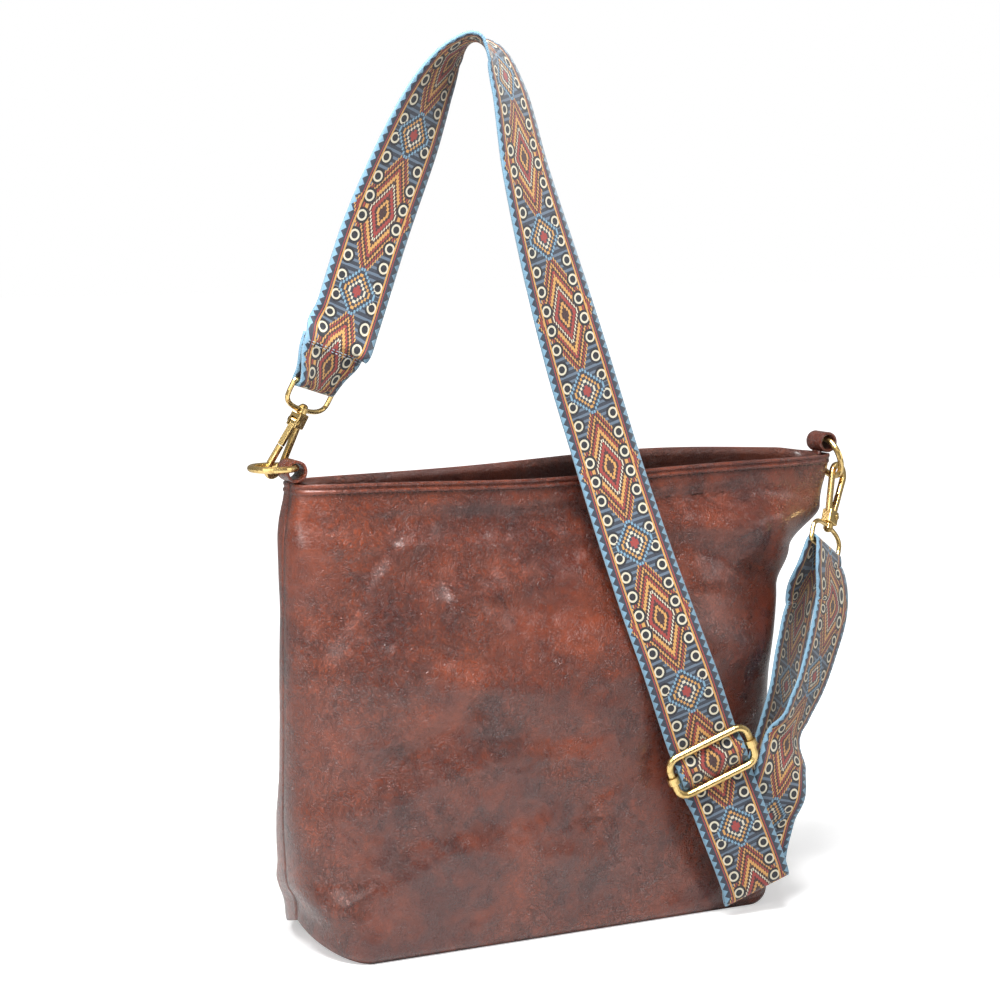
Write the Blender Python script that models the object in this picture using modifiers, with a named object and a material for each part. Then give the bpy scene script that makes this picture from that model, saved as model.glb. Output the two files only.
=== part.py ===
"""Slouchy leather tote bag with corner rings, swivel snap hooks and a printed webbing strap.

Metres, +Z up, the front is at -Y and the base stands on z = 0 with its middle at the origin.
"""

import math

import bmesh
import bpy
import numpy as np
from mathutils import Matrix, Vector

# Body, cut from two panels whose bottom corners are boxed
BASE_WIDTH = 0.260
BASE_DEPTH = 0.110
HEIGHT = 0.280
WALL = 0.0016
BASE_EDGE_ROUND = 0.004
BASE_FLAT_SHARE = 0.78
SIDE_BULGE = 0.027
SIDE_LIFT = 0.016
LEAN_RIGHT = 0.0205
LEAN_FORWARD = 0.014
MOUTH_FRONT = 0.018
MOUTH_BACK = 0.024
RIM_SAG = 0.0035
RIM_RISE_BACK = 0.006
FACING_WALL = 0.0012

# Clearances between pieces that touch on the real bag
GAP = 0.0003
RING_PLAY = 0.0028

# Tabs and rings
TAB_WIDTH = 0.016
TAB_WALL = 0.0018
TAB_HOLE_RADIUS = 0.0048
TAB_TAIL = 0.010
TAB_TAIL_WIDTH = 0.008
TAB_INSET = 0.0055
RING_RADIUS = 0.013
RING_WIRE = 0.002

# Swivel snap hooks
BOW_RADIUS = 0.0066
BOW_BAND = 0.0032
BOW_THICK = 0.0042
GATE_PIVOT_OFFSET = 0.0026
GATE_PIVOT_HEIGHT = 0.0285
GATE_REACH = 0.016
GATE_BAND = 0.0032
GATE_THICK = 0.0034
GATE_EYE_RADIUS = 0.0022
BLOCK_WIDTH = 0.0098
BLOCK_THICK = 0.0066
BLOCK_LOW = 0.025
BLOCK_HIGH = 0.034
RIVET_RADIUS = 0.0010
RIVET_HEAD_RADIUS = 0.0020
RIVET_HEAD_HEIGHT = 0.0008
POST_RADIUS = 0.0014
POST_HEAD_RADIUS = 0.0026
POST_HEAD_HEIGHT = 0.0017
BOSS_RADIUS = 0.0031
BOSS_LENGTH = 0.0034

# Strap loops that hold the webbing ends
LOOP_WIDTH = 0.041
LOOP_HEIGHT = 0.016
LOOP_WIRE = 0.0015

# Webbing and its slider
STRAP_WIDTH = 0.045
STRAP_THICK = 0.0016
SLIDER_ROOM = 0.0092
SLIDER_LENGTH = STRAP_WIDTH + SLIDER_ROOM
SLIDER_HEIGHT = 0.0254
SLIDER_CORNER = 0.0070
SLIDER_WIRE = 0.0023
SLIDER_BAR_RADIUS = 0.00175
SEWN_TAIL = 0.026

SIDE_COLUMNS = 5
FRONT_COLUMNS = 16
WALL_LEVELS = (
    0.0, 0.012, 0.04, 0.08, 0.12, 0.18, 0.27, 0.37,
    0.47, 0.56, 0.63, 0.69, 0.74, 0.79, 0.84, 0.885,
)
RIM_LEVELS = (0.893, 0.93, 0.965, 1.0)
LOW_BLEND = 0.17
SECTION_SAMPLES = 361

TOP_WIDTH = BASE_WIDTH + BASE_DEPTH
RIM_Y = -LEAN_FORWARD

LEATHER_BROWN = (0.135, 0.032, 0.016, 1.0)
FACING_BROWN = (0.110, 0.028, 0.016, 1.0)
BRASS = (0.720, 0.520, 0.200, 1.0)
STEEL_BRASS = (0.560, 0.410, 0.170, 1.0)
WEBBING_BLUE = (0.120, 0.130, 0.160, 1.0)


def clear_scene():
    for thing in list(bpy.data.objects):
        bpy.data.objects.remove(thing, do_unlink=True)


def make_collection(name):
    group = bpy.data.collections.get(name) or bpy.data.collections.new(name)
    if name not in bpy.context.scene.collection.children:
        bpy.context.scene.collection.children.link(group)
    return group


def make_material(name, colour, roughness, metallic):
    finish = bpy.data.materials.new(name)
    finish.use_nodes = True
    shader = finish.node_tree.nodes["Principled BSDF"]
    shader.inputs["Base Color"].default_value = colour
    shader.inputs["Roughness"].default_value = roughness
    shader.inputs["Metallic"].default_value = metallic
    return finish


def smooth(value):
    value = min(max(value, 0.0), 1.0)
    return value * value * (3 - 2 * value)


def bump(value, middle, reach):
    return math.exp(-(((value - middle) / reach) ** 2))


def along(points, value):
    """Reads a profile given as (position, size) pairs, with smooth steps between them."""
    if value <= points[0][0]:
        return points[0][1]
    for (low, start), (high, end) in zip(points, points[1:]):
        if value <= high:
            return start + (end - start) * smooth((value - low) / (high - low))
    return points[-1][1]


# Body shape

SIDE_REACH = (TOP_WIDTH - BASE_WIDTH) / 2
LEFT_SEAM = (
    (0.0, SIDE_BULGE),
    (0.14, 0.62 * SIDE_REACH),
    (0.30, 0.66 * SIDE_REACH),
    (0.86, 0.70 * SIDE_REACH),
    (1.0, SIDE_REACH - LEAN_RIGHT),
)
RIGHT_SEAM = (
    (0.0, SIDE_BULGE),
    (0.14, 0.62 * SIDE_REACH),
    (0.30, 0.64 * SIDE_REACH),
    (0.50, 0.60 * SIDE_REACH),
    (0.70, 0.72 * SIDE_REACH),
    (0.79, 0.86 * SIDE_REACH),
    (0.88, 1.28 * SIDE_REACH),
    (1.0, SIDE_REACH + LEAN_RIGHT),
)


def seam_left(level):
    return -BASE_WIDTH / 2 - along(LEFT_SEAM, level)


def seam_right(level):
    return BASE_WIDTH / 2 + along(RIGHT_SEAM, level)


def half_depth(level, front):
    if front:
        points = (
            (0.0, BASE_DEPTH / 2),
            (0.20, BASE_DEPTH / 2 + 0.004),
            (0.55, BASE_DEPTH / 2 + 0.001),
            (0.86, MOUTH_FRONT + 0.010),
            (0.93, MOUTH_FRONT),
            (1.0, MOUTH_FRONT),
        )
    else:
        points = (
            (0.0, BASE_DEPTH / 2),
            (0.20, BASE_DEPTH / 2 + 0.002),
            (0.55, BASE_DEPTH / 2 - 0.003),
            (0.90, MOUTH_BACK + 0.008),
            (1.0, MOUTH_BACK),
        )
    return along(points, level)


def roundness(level):
    return along(((0.0, 6.0), (0.18, 3.0), (0.40, 2.4), (0.70, 2.5), (1.0, 5.0)), level)


def slump(x, z, front):
    """Inward hollows and outward folds of the soft front, as a change of depth."""
    if not front:
        return 0.0
    low_fold = 0.008 * bump(x, 0.145, 0.034) * bump(z, 0.190, 0.022)
    wing = -0.003 * bump(x, 0.145, 0.030) * bump(z, 0.235, 0.022)
    corner = 0.012 * smooth((x - 0.155) / 0.035) * bump(z, 0.240, 0.032)
    hollow = 0.004 * bump(x, -0.010, 0.110) * bump(z, 0.232, 0.016)
    strap_dent = 0.006 * bump(x, 0.095, 0.050) * bump(z, 0.085, 0.050)
    return low_fold + wing + corner + hollow + strap_dent


def rim_wave(x, front):
    middle = (seam_left(1.0) + seam_right(1.0)) / 2
    across = (x - middle) / (TOP_WIDTH / 2)
    if front:
        return -RIM_SAG * bump(across, -0.15, 0.45)
    return RIM_RISE_BACK * bump(across, 0.35, 0.55) * smooth((1 - abs(across)) * 8)


def base_edge(place):
    """A point of the base outline; place runs from 0 at the left seam to 1 at the right one."""
    side_share = (BASE_DEPTH / 2) / (BASE_WIDTH + BASE_DEPTH)
    half_width = BASE_WIDTH / 2
    half = BASE_DEPTH / 2 - BASE_EDGE_ROUND
    if side_share <= place <= 1 - side_share:
        across = (place - side_share) / (1 - 2 * side_share)
        return (2 * across - 1) * half_width, half, 0.0
    turn = 1 - min(place, 1 - place) / side_share
    hand = -1 if place < 0.5 else 1
    angle = turn * math.pi / 2
    return (
        hand * (half_width + SIDE_BULGE * math.sin(angle)),
        half * math.cos(angle),
        SIDE_LIFT * turn**1.6,
    )


def section(level, front, inset_x, inset_y):
    """Half a cross-section, spread evenly along its length: functions of the place from 0 to 1."""
    left = seam_left(level) + inset_x
    right = seam_right(level) - inset_x
    middle = (left + right) / 2
    reach = (right - left) / 2
    depth = half_depth(level, front) - inset_y
    power = 2 / roundness(level)
    turn = np.linspace(0, math.pi, SECTION_SAMPLES)
    x = middle - reach * np.sign(np.cos(turn)) * np.abs(np.cos(turn)) ** power
    y = depth * np.abs(np.sin(turn)) ** power
    length = np.concatenate([[0], np.cumsum(np.hypot(np.diff(x), np.diff(y)))])
    return length / length[-1], x, y


def wall_row(level, front, places, inset_x, inset_y):
    """Points of one level of the wall, from the left seam to the right one."""
    share, xs, ys = section(level, front, inset_x, inset_y)
    hand = -1 if front else 1
    lean = -LEAN_FORWARD * smooth(level)
    mix = smooth(level / LOW_BLEND)
    lowest = BASE_EDGE_ROUND * max(0.0, 1 - level / 0.02) ** 2
    row = []
    for place in places:
        x = float(np.interp(place, share, xs))
        y = float(np.interp(place, share, ys))
        edge_x, edge_y, edge_z = base_edge(place)
        edge_y += (BASE_EDGE_ROUND - lowest) * min(1.0, edge_y / (BASE_DEPTH / 2 - BASE_EDGE_ROUND))
        x = edge_x + (x - edge_x) * mix
        y = edge_y + (y - edge_y) * mix
        z = level * HEIGHT + edge_z * (1 - mix)
        z += rim_wave(x, front) * smooth((level - 0.6) / 0.4)
        y = y - slump(x, z, front) * min(1.0, y / (BASE_DEPTH / 4))
        row.append((x, hand * (y + GAP / 2) + lean, z))
    return row


def places_across():
    """Places of the panel's columns, with the side columns on the boxed corner's seam."""
    side_share = (BASE_DEPTH / 2) / (BASE_WIDTH + BASE_DEPTH)
    left = np.linspace(0, side_share, SIDE_COLUMNS + 1)
    front = np.linspace(side_share, 1 - side_share, FRONT_COLUMNS + 1)
    right = np.linspace(1 - side_share, 1, SIDE_COLUMNS + 1)
    return [float(value) for value in np.concatenate([left, front[1:], right[1:]])]


def floor_rows(front):
    """Rows of the base half, from its middle seam out to the front or back edge."""
    side_share = (BASE_DEPTH / 2) / (BASE_WIDTH + BASE_DEPTH)
    hand = -1 if front else 1
    flat = BASE_FLAT_SHARE * BASE_WIDTH / 2
    rows = []
    for i in range(SIDE_COLUMNS + 1):
        edge_x, edge_y, edge_z = base_edge(side_share * i / SIDE_COLUMNS)
        row = []
        for j in range(FRONT_COLUMNS + 1):
            x = edge_x * (1 - 2 * j / FRONT_COLUMNS)
            rise = smooth((abs(x) - flat) / (abs(edge_x) - flat))
            row.append((x, hand * (edge_y + GAP / 2), edge_z * rise))
        rows.append(row)
    return rows


def grid_faces(rows, start):
    """Quads of a grid whose vertices are stored row after row, facing the viewer from outside."""
    count = len(rows[0])
    faces = []
    for i in range(len(rows) - 1):
        for j in range(count - 1):
            a = start + i * count + j
            faces.append((a, a + 1, a + 1 + count, a + count))
    return faces


def join_shell(name, outer, inner, group, finish):
    """A closed wall between two sheets that have the same vertices in the same order."""
    points, faces = outer
    others = inner[0]
    shift = len(points)
    edges = {}
    for face in faces:
        for a, b in zip(face, face[1:] + face[:1]):
            edges[(a, b)] = edges.get((a, b), 0) + 1
    quads = [tuple(reversed([index + shift for index in face])) for face in faces]
    for a, b in edges:
        if (b, a) not in edges:
            quads.append((b, a, a + shift, b + shift))
    mesh = bpy.data.meshes.new(name)
    mesh.from_pydata(list(points) + list(others), [], faces + quads)
    return finish_mesh(name, mesh, group, finish)


def weld(points, faces):
    """Merges vertices that lie on one spot, so that neighbouring grids share their edge."""
    seen = {}
    kept = []
    index = []
    for point in points:
        key = tuple(round(value, 7) for value in point)
        if key not in seen:
            seen[key] = len(kept)
            kept.append(point)
        index.append(seen[key])
    result = []
    for face in faces:
        turned = []
        for corner in face:
            if index[corner] not in turned:
                turned.append(index[corner])
        if len(turned) > 2:
            result.append(tuple(turned))
    return kept, result


def finish_mesh(name, mesh, group, finish):
    shape = bmesh.new()
    shape.from_mesh(mesh)
    bmesh.ops.recalc_face_normals(shape, faces=shape.faces[:])
    if shape.calc_volume(signed=True) < 0:
        bmesh.ops.reverse_faces(shape, faces=shape.faces[:])
    shape.to_mesh(mesh)
    shape.free()
    mesh.materials.clear()
    mesh.materials.append(finish)
    mesh.shade_smooth()
    mesh.set_sharp_from_angle(angle=math.radians(40))
    thing = bpy.data.objects.new(name, mesh)
    group.objects.link(thing)
    return thing


def panel_sheet(front):
    """One panel: its half of the base and its wall up to the rim, as points and faces."""
    places = places_across()
    rows = [wall_row(level, front, places, 0.0, 0.0) for level in WALL_LEVELS + RIM_LEVELS]
    base = floor_rows(front)
    corner = SIDE_COLUMNS
    first = rows[0]
    for i in range(SIDE_COLUMNS + 1):
        base[i][0] = first[i]
        base[i][-1] = first[-1 - i]
    base[corner] = first[corner : corner + FRONT_COLUMNS + 1]
    points = [point for row in rows for point in row]
    faces = grid_faces(rows, 0)
    start = len(points)
    points += [point for row in base for point in row]
    faces += grid_faces(base, start)
    return points, faces


def make_panels(group, finish):
    """Both panels, each as thick as the leather, measured square to its surface."""
    for name, front in (("front_panel", True), ("back_panel", False)):
        points, faces = panel_sheet(front)
        kept, faces = weld(points, faces)
        join_shell(name, (kept, faces), (inward_copy(kept, faces, WALL, front), None), group, finish)


def inward_copy(points, faces, depth, front):
    """The same points, moved square to the surface towards the bag's middle, up to the seams."""
    mesh = bpy.data.meshes.new("guide")
    mesh.from_pydata(points, [], faces)
    shape = bmesh.new()
    shape.from_mesh(mesh)
    bmesh.ops.recalc_face_normals(shape, faces=shape.faces[:])
    shape.normal_update()
    middle = Vector((0.0, 0.0, HEIGHT / 2))
    outward = sum(face.normal.dot(face.calc_center_median() - middle) for face in shape.faces)
    hand = -depth if outward > 0 else depth
    moved = []
    for vert in shape.verts:
        x, y, z = vert.co + vert.normal * hand
        seam = -LEAN_FORWARD * smooth(z / HEIGHT)
        y = min(y, seam - GAP) if front else max(y, seam + GAP)
        moved.append((x, y, z))
    shape.free()
    bpy.data.meshes.remove(mesh)
    return moved


def loop_rows(levels, inset_x, inset_y):
    """Closed rings of points round the whole bag, front from left to right and then the back."""
    places = places_across()
    rows = []
    for level in levels:
        front = wall_row(level, True, places, inset_x, inset_y)
        back = wall_row(level, False, places, inset_x, inset_y)
        seam = [((a[0] + b[0]) / 2, (a[1] + b[1]) / 2, (a[2] + b[2]) / 2)
                for a, b in ((front[0], back[0]), (front[-1], back[-1]))]
        rows.append([seam[0]] + front[1:-1] + [seam[1]] + list(reversed(back[1:-1])))
    return rows


def ring_faces(rows):
    count = len(rows[0])
    faces = []
    for i in range(len(rows) - 1):
        for j in range(count):
            k = (j + 1) % count
            faces.append((i * count + j, i * count + k, (i + 1) * count + k, (i + 1) * count + j))
    return faces


def make_facing(group, finish):
    """The leather band sewn inside the mouth; its ends leave room for the tabs' tails."""
    inset = WALL + 0.0010
    pocket = TAB_INSET + TAB_WALL / 2 + 4 * GAP
    outer = loop_rows(RIM_LEVELS[1:], pocket, inset)
    inner = loop_rows(RIM_LEVELS[1:], pocket + FACING_WALL, inset + FACING_WALL)
    points = [point for row in outer for point in row]
    others = [point for row in inner for point in row]
    join_shell("top_facing", (points, ring_faces(outer)), (others, None), group, finish)


# Small tools for metal and leather fittings


def frame_of(origin, x_axis, y_axis):
    """A placement whose x and y axes point along the given directions."""
    y = Vector(y_axis).normalized()
    x = Vector(x_axis)
    x = (x - y * x.dot(y)).normalized()
    z = x.cross(y)
    turned = Matrix((x, y, z)).transposed().to_4x4()
    return Matrix.Translation(origin) @ turned


def mesh_of(thing):
    """A plain mesh object of what a curve or modified object shows, in its place."""
    bpy.context.view_layer.update()
    seen = thing.evaluated_get(bpy.context.evaluated_depsgraph_get())
    mesh = bpy.data.meshes.new_from_object(seen)
    mesh.transform(thing.matrix_world)
    bpy.data.objects.remove(thing, do_unlink=True)
    shape = bmesh.new()
    shape.from_mesh(mesh)
    bmesh.ops.remove_doubles(shape, verts=shape.verts[:], dist=1e-6)
    bmesh.ops.recalc_face_normals(shape, faces=shape.faces[:])
    if shape.calc_volume(signed=True) < 0:
        bmesh.ops.reverse_faces(shape, faces=shape.faces[:])
    shape.to_mesh(mesh)
    shape.free()
    return mesh


def flat_shape(outlines, thick, bevel):
    """A plate of a closed outline and its holes, standing equally to both sides of z = 0."""
    curve = bpy.data.curves.new("outline", "CURVE")
    curve.dimensions = "2D"
    curve.fill_mode = "BOTH"
    curve.extrude = thick / 2 - bevel
    curve.bevel_depth = bevel
    curve.bevel_resolution = 1
    curve.offset = -bevel
    for points in outlines:
        line = curve.splines.new("POLY")
        line.points.add(len(points) - 1)
        for dot, place in zip(line.points, points):
            dot.co = (place[0], place[1], 0, 1)
        line.use_cyclic_u = True
    thing = bpy.data.objects.new("outline", curve)
    bpy.context.scene.collection.objects.link(thing)
    return mesh_of(thing)


def bar_shape(points, profile, cyclic):
    """A bar of the given outline, bent along a path."""
    outline = bpy.data.curves.new("bar_outline", "CURVE")
    outline.dimensions = "2D"
    edge = outline.splines.new("POLY")
    edge.points.add(len(profile) - 1)
    for dot, place in zip(edge.points, profile):
        dot.co = (place[0], place[1], 0, 1)
    edge.use_cyclic_u = True
    guide = bpy.data.objects.new("bar_outline", outline)
    bpy.context.scene.collection.objects.link(guide)
    curve = bpy.data.curves.new("bar", "CURVE")
    curve.dimensions = "3D"
    curve.bevel_mode = "OBJECT"
    curve.bevel_object = guide
    curve.use_fill_caps = True
    line = curve.splines.new("POLY")
    line.points.add(len(points) - 1)
    for dot, place in zip(line.points, points):
        dot.co = (*place, 1)
    line.use_cyclic_u = cyclic
    thing = bpy.data.objects.new("bar", curve)
    bpy.context.scene.collection.objects.link(thing)
    mesh = mesh_of(thing)
    bpy.data.objects.remove(guide, do_unlink=True)
    return mesh


def wire_shape(points, radius, cyclic, sides=10):
    ring = [(radius * math.cos(turn), radius * math.sin(turn))
            for turn in (2 * math.pi * k / sides for k in range(sides))]
    return bar_shape(points, ring, cyclic)


def rod_shape(radius, low, high, sides, axis="Y"):
    """A round rod between two heights of one axis."""
    shape = bmesh.new()
    bmesh.ops.create_cone(
        shape, cap_ends=True, segments=sides, radius1=radius, radius2=radius, depth=high - low
    )
    bmesh.ops.translate(shape, verts=shape.verts, vec=(0, 0, (high + low) / 2))
    if axis == "Y":
        turn = Matrix.Rotation(math.radians(-90), 4, "X")
    elif axis == "X":
        turn = Matrix.Rotation(math.radians(90), 4, "Y")
    else:
        turn = Matrix.Identity(4)
    bmesh.ops.transform(shape, matrix=turn, verts=shape.verts)
    mesh = bpy.data.meshes.new("rod")
    shape.to_mesh(mesh)
    shape.free()
    return mesh


def box_shape(low, high, bevel=0.0):
    shape = bmesh.new()
    bmesh.ops.create_cube(shape, size=1)
    size = [b - a for a, b in zip(low, high)]
    middle = [(a + b) / 2 for a, b in zip(low, high)]
    bmesh.ops.scale(shape, verts=shape.verts, vec=size)
    bmesh.ops.translate(shape, verts=shape.verts, vec=middle)
    if bevel:
        bmesh.ops.bevel(shape, geom=shape.edges[:], offset=bevel, segments=2, profile=0.5, affect="EDGES")
    mesh = bpy.data.meshes.new("box")
    shape.to_mesh(mesh)
    shape.free()
    return mesh


def head_rod(radius, head_radius, head_height, low, high, both):
    """A rivet or post turned about Y: a shank with a domed head at its top, or at both ends."""
    top = [(head_radius * math.cos(turn), high + head_height * math.sin(turn))
           for turn in (math.pi / 2, math.pi / 3, math.pi / 6, 0)]
    top[0] = (0.0, high + head_height)
    if both:
        bottom = [(x, low - (y - high)) for x, y in reversed(top)]
        profile = top + [(radius, high), (radius, low)] + bottom
    else:
        profile = top + [(radius, high), (radius, low), (0.0, low)]
    mesh = bpy.data.meshes.new("turned")
    count = len(profile)
    mesh.from_pydata([(x, 0, y) for x, y in profile], [(k, k + 1) for k in range(count - 1)], [])
    thing = bpy.data.objects.new("turned", mesh)
    bpy.context.scene.collection.objects.link(thing)
    screw = thing.modifiers.new("turn", "SCREW")
    screw.axis = "Z"
    screw.angle = math.tau
    screw.steps = 14
    screw.render_steps = 14
    screw.use_merge_vertices = True
    screw.merge_threshold = 1e-5
    result = mesh_of(thing)
    result.transform(Matrix.Rotation(math.radians(-90), 4, "X"))
    return result


def place_piece(name, mesh, placement, pivot, group, finish, cuts=(), joins=()):
    """Puts a piece in its place with its origin on the pivot, then joins and cuts it."""
    mesh.transform(placement)
    mesh.transform(Matrix.Translation(-Vector(pivot)))
    thing = finish_mesh(name, mesh, group, finish)
    thing.location = pivot
    cutters = make_collection("cutters")
    for operation, others in (("UNION", joins), ("DIFFERENCE", cuts)):
        for number, other in enumerate(others):
            other.transform(placement)
            tool = bpy.data.objects.new(f"{name}_{operation.lower()}_{number}", other)
            cutters.objects.link(tool)
            tool.hide_render = True
            tool.display_type = "WIRE"
            step = thing.modifiers.new(operation.lower(), "BOOLEAN")
            step.operation = operation
            step.object = tool
            step.solver = "EXACT"
    return thing


def circle(radius, middle, count):
    return [(middle[0] + radius * math.cos(turn), middle[1] + radius * math.sin(turn))
            for turn in (2 * math.pi * k / count for k in range(count))]


# Tabs and rings


def make_tab(name, hole_middle, tail_x, group, finish):
    """A leather strip folded into a loop, its narrower tail held between wall and facing."""
    outer_radius = TAB_HOLE_RADIUS + TAB_WALL
    outline = circle(outer_radius, (0, 0), 28)
    mesh = flat_shape([outline, circle(TAB_HOLE_RADIUS, (0, 0), 24)], TAB_WIDTH, 0.0004)
    left = tail_x - hole_middle[0] - TAB_WALL / 2
    tail = box_shape(
        (left, -outer_radius - TAB_TAIL, -TAB_TAIL_WIDTH / 2),
        (left + TAB_WALL, -TAB_HOLE_RADIUS - TAB_WALL / 2, TAB_TAIL_WIDTH / 2),
    )
    placement = frame_of(Vector(hole_middle), (1, 0, 0), (0, 0, 1))
    return place_piece(name, mesh, placement, hole_middle, group, finish, (), (tail,))


def ring_path(radius, count):
    return [(radius * math.cos(turn), radius * math.sin(turn), 0)
            for turn in (2 * math.pi * k / count for k in range(count))]


def ring_seat():
    """How far the wire lies off the tab's middle line: along the ring's reach, and crosswise."""
    half = TAB_WIDTH / 2
    bow = (RING_RADIUS - math.sqrt(RING_RADIUS**2 - half**2)) / 2
    room = TAB_HOLE_RADIUS - RING_WIRE - GAP
    return bow, math.sqrt(room**2 - bow**2)


def make_ring(name, middle, outward, across, pivot, group, finish):
    mesh = wire_shape(ring_path(RING_RADIUS, 32), RING_WIRE, True)
    placement = frame_of(Vector(middle), outward, across)
    return place_piece(name, mesh, placement, pivot, group, finish)


# Swivel snap hooks; in their own frame the ring's wire crosses at 0, 0 and +Y runs to the strap


def bow_arc_height():
    return BOW_RADIUS - BOW_BAND / 2 - RING_WIRE - RING_PLAY


def tangent_turn():
    """The turn from the hook's middle line to where a straight arm leaves the round end."""
    rise = GATE_PIVOT_HEIGHT - bow_arc_height()
    reach = math.hypot(GATE_PIVOT_OFFSET, rise)
    return math.atan2(rise, GATE_PIVOT_OFFSET) - math.acos(BOW_RADIUS / reach)


def gate_direction():
    """The direction from the gate's pivot to its tip, along the right arm."""
    turn = tangent_turn()
    foot = (BOW_RADIUS * math.cos(turn), bow_arc_height() + BOW_RADIUS * math.sin(turn))
    run = (foot[0] - GATE_PIVOT_OFFSET, foot[1] - GATE_PIVOT_HEIGHT)
    size = math.hypot(*run)
    return run[0] / size, run[1] / size


def bow_path():
    """The bow's middle line: left arm, round end and the nose that the gate closes on."""
    turn = tangent_turn()
    rise = bow_arc_height()
    path = [(-GATE_PIVOT_OFFSET, GATE_PIVOT_HEIGHT, 0)]
    steps = 18
    start, end = math.pi - turn, 2 * math.pi + turn
    for k in range(steps + 1):
        angle = start + (end - start) * k / steps
        path.append((BOW_RADIUS * math.cos(angle), rise + BOW_RADIUS * math.sin(angle), 0))
    step_x, step_y = gate_direction()
    reach = GATE_REACH + GAP
    path.append((GATE_PIVOT_OFFSET + step_x * reach, GATE_PIVOT_HEIGHT + step_y * reach, 0))
    return path


def rounded_box_outline(width, height, corner, steps=2):
    points = []
    for quarter in range(4):
        sign_x = 1 if quarter in (0, 3) else -1
        sign_y = 1 if quarter in (0, 1) else -1
        for k in range(steps + 1):
            turn = (quarter + k / steps) * math.pi / 2
            points.append((
                sign_x * (width / 2 - corner) + corner * math.cos(turn),
                sign_y * (height / 2 - corner) + corner * math.sin(turn),
            ))
    return points


def make_hook(name, placement, pivot, group, finish):
    """The hook's bow and its block, slotted for the gate and bored for the rivet and the post."""
    profile = rounded_box_outline(BOW_THICK, BOW_BAND, 0.0009)
    mesh = bar_shape(bow_path(), profile, False)
    half_width, half_thick = BLOCK_WIDTH / 2, BLOCK_THICK / 2
    block = box_shape((-half_width, BLOCK_LOW, -half_thick), (half_width, BLOCK_HIGH, half_thick), 0.0006)
    slot_high = GATE_PIVOT_HEIGHT + 0.0025
    slot_half = GATE_THICK / 2 + GAP
    slot = box_shape((0.0002, BLOCK_LOW - 0.002, -slot_half), (half_width + 0.002, slot_high, slot_half))
    rivet_hole = rod_shape(RIVET_RADIUS + GAP, -half_thick - 0.001, half_thick + 0.001, 14, "Z")
    rivet_hole.transform(Matrix.Translation((GATE_PIVOT_OFFSET, GATE_PIVOT_HEIGHT, 0)))
    post_hole = rod_shape(POST_RADIUS + GAP, slot_high + 0.0008, BLOCK_HIGH + 0.001, 14)
    cuts = (slot, rivet_hole, post_hole)
    return place_piece(name, mesh, placement, pivot, group, finish, cuts, (block,))


def make_gate(name, placement, pivot, group, finish):
    """The sprung gate, from its eye round the rivet to its flat tip at the nose."""
    step_x, step_y = gate_direction()
    half = GATE_BAND / 2
    outline = []
    for k in range(11):
        turn = math.pi / 2 + math.pi * k / 10
        outline.append((GATE_EYE_RADIUS * math.cos(turn), GATE_EYE_RADIUS * math.sin(turn)))
    outline += [(0.0015, -half), (GATE_REACH, -half), (GATE_REACH, half), (0.0015, half)]
    points = [(u * step_x - v * step_y, u * step_y + v * step_x) for u, v in outline]
    hole = circle(RIVET_RADIUS + GAP, (0, 0), 14)
    mesh = flat_shape([points, hole], GATE_THICK, 0.0002)
    mesh.transform(Matrix.Translation((GATE_PIVOT_OFFSET, GATE_PIVOT_HEIGHT, 0)))
    return place_piece(name, mesh, placement, pivot, group, finish)


def make_rivet(name, placement, pivot, group, finish):
    reach = BLOCK_THICK / 2 + GAP
    mesh = head_rod(RIVET_RADIUS, RIVET_HEAD_RADIUS, RIVET_HEAD_HEIGHT, -reach, reach, True)
    mesh.transform(Matrix.Rotation(math.radians(90), 4, "X"))
    mesh.transform(Matrix.Translation((GATE_PIVOT_OFFSET, GATE_PIVOT_HEIGHT, 0)))
    return place_piece(name, mesh, placement, pivot, group, finish)


def make_post(name, placement, pivot, group, finish):
    low = GATE_PIVOT_HEIGHT + 0.0025 + 0.0008 + GAP
    high = BLOCK_HIGH + 2 * GAP + BOSS_LENGTH
    mesh = head_rod(POST_RADIUS, POST_HEAD_RADIUS, POST_HEAD_HEIGHT, low, high, False)
    return place_piece(name, mesh, placement, pivot, group, finish)


def loop_path():
    """The strap loop's middle line: its straight bar is at LOOP_HEIGHT, its boss at 0, 0."""
    half = LOOP_WIDTH / 2
    low = 0.55 * LOOP_HEIGHT
    corner = 0.0016
    path = []
    steps = 14
    for k in range(steps + 1):
        turn = math.pi + math.pi * k / steps
        power = 2 / 2.7
        x = half * math.copysign(abs(math.cos(turn)) ** power, math.cos(turn))
        y = low - low * abs(math.sin(turn)) ** power
        path.append((x, y, 0))
    for hand in (1, -1):
        for k in range(5):
            turn = math.pi / 2 * (k / 4 if hand > 0 else 1 - k / 4)
            path.append((
                hand * (half - corner + corner * math.cos(turn)),
                LOOP_HEIGHT - corner + corner * math.sin(turn),
                0,
            ))
    return path


def make_loop(name, placement, pivot, group, finish):
    """The wire loop in the strap's end, with the bored boss that the post turns in."""
    boss_middle = BLOCK_HIGH + GAP + BOSS_LENGTH / 2
    mesh = wire_shape(loop_path(), LOOP_WIRE, True)
    mesh.transform(Matrix.Translation((0, boss_middle, 0)))
    boss = rod_shape(BOSS_RADIUS, boss_middle - BOSS_LENGTH / 2, boss_middle + BOSS_LENGTH / 2, 18)
    bore = rod_shape(POST_RADIUS + GAP, boss_middle - 0.005, boss_middle + 0.005, 14)
    return place_piece(name, mesh, placement, pivot, group, finish, (bore,), (boss,))


# Webbing


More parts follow.
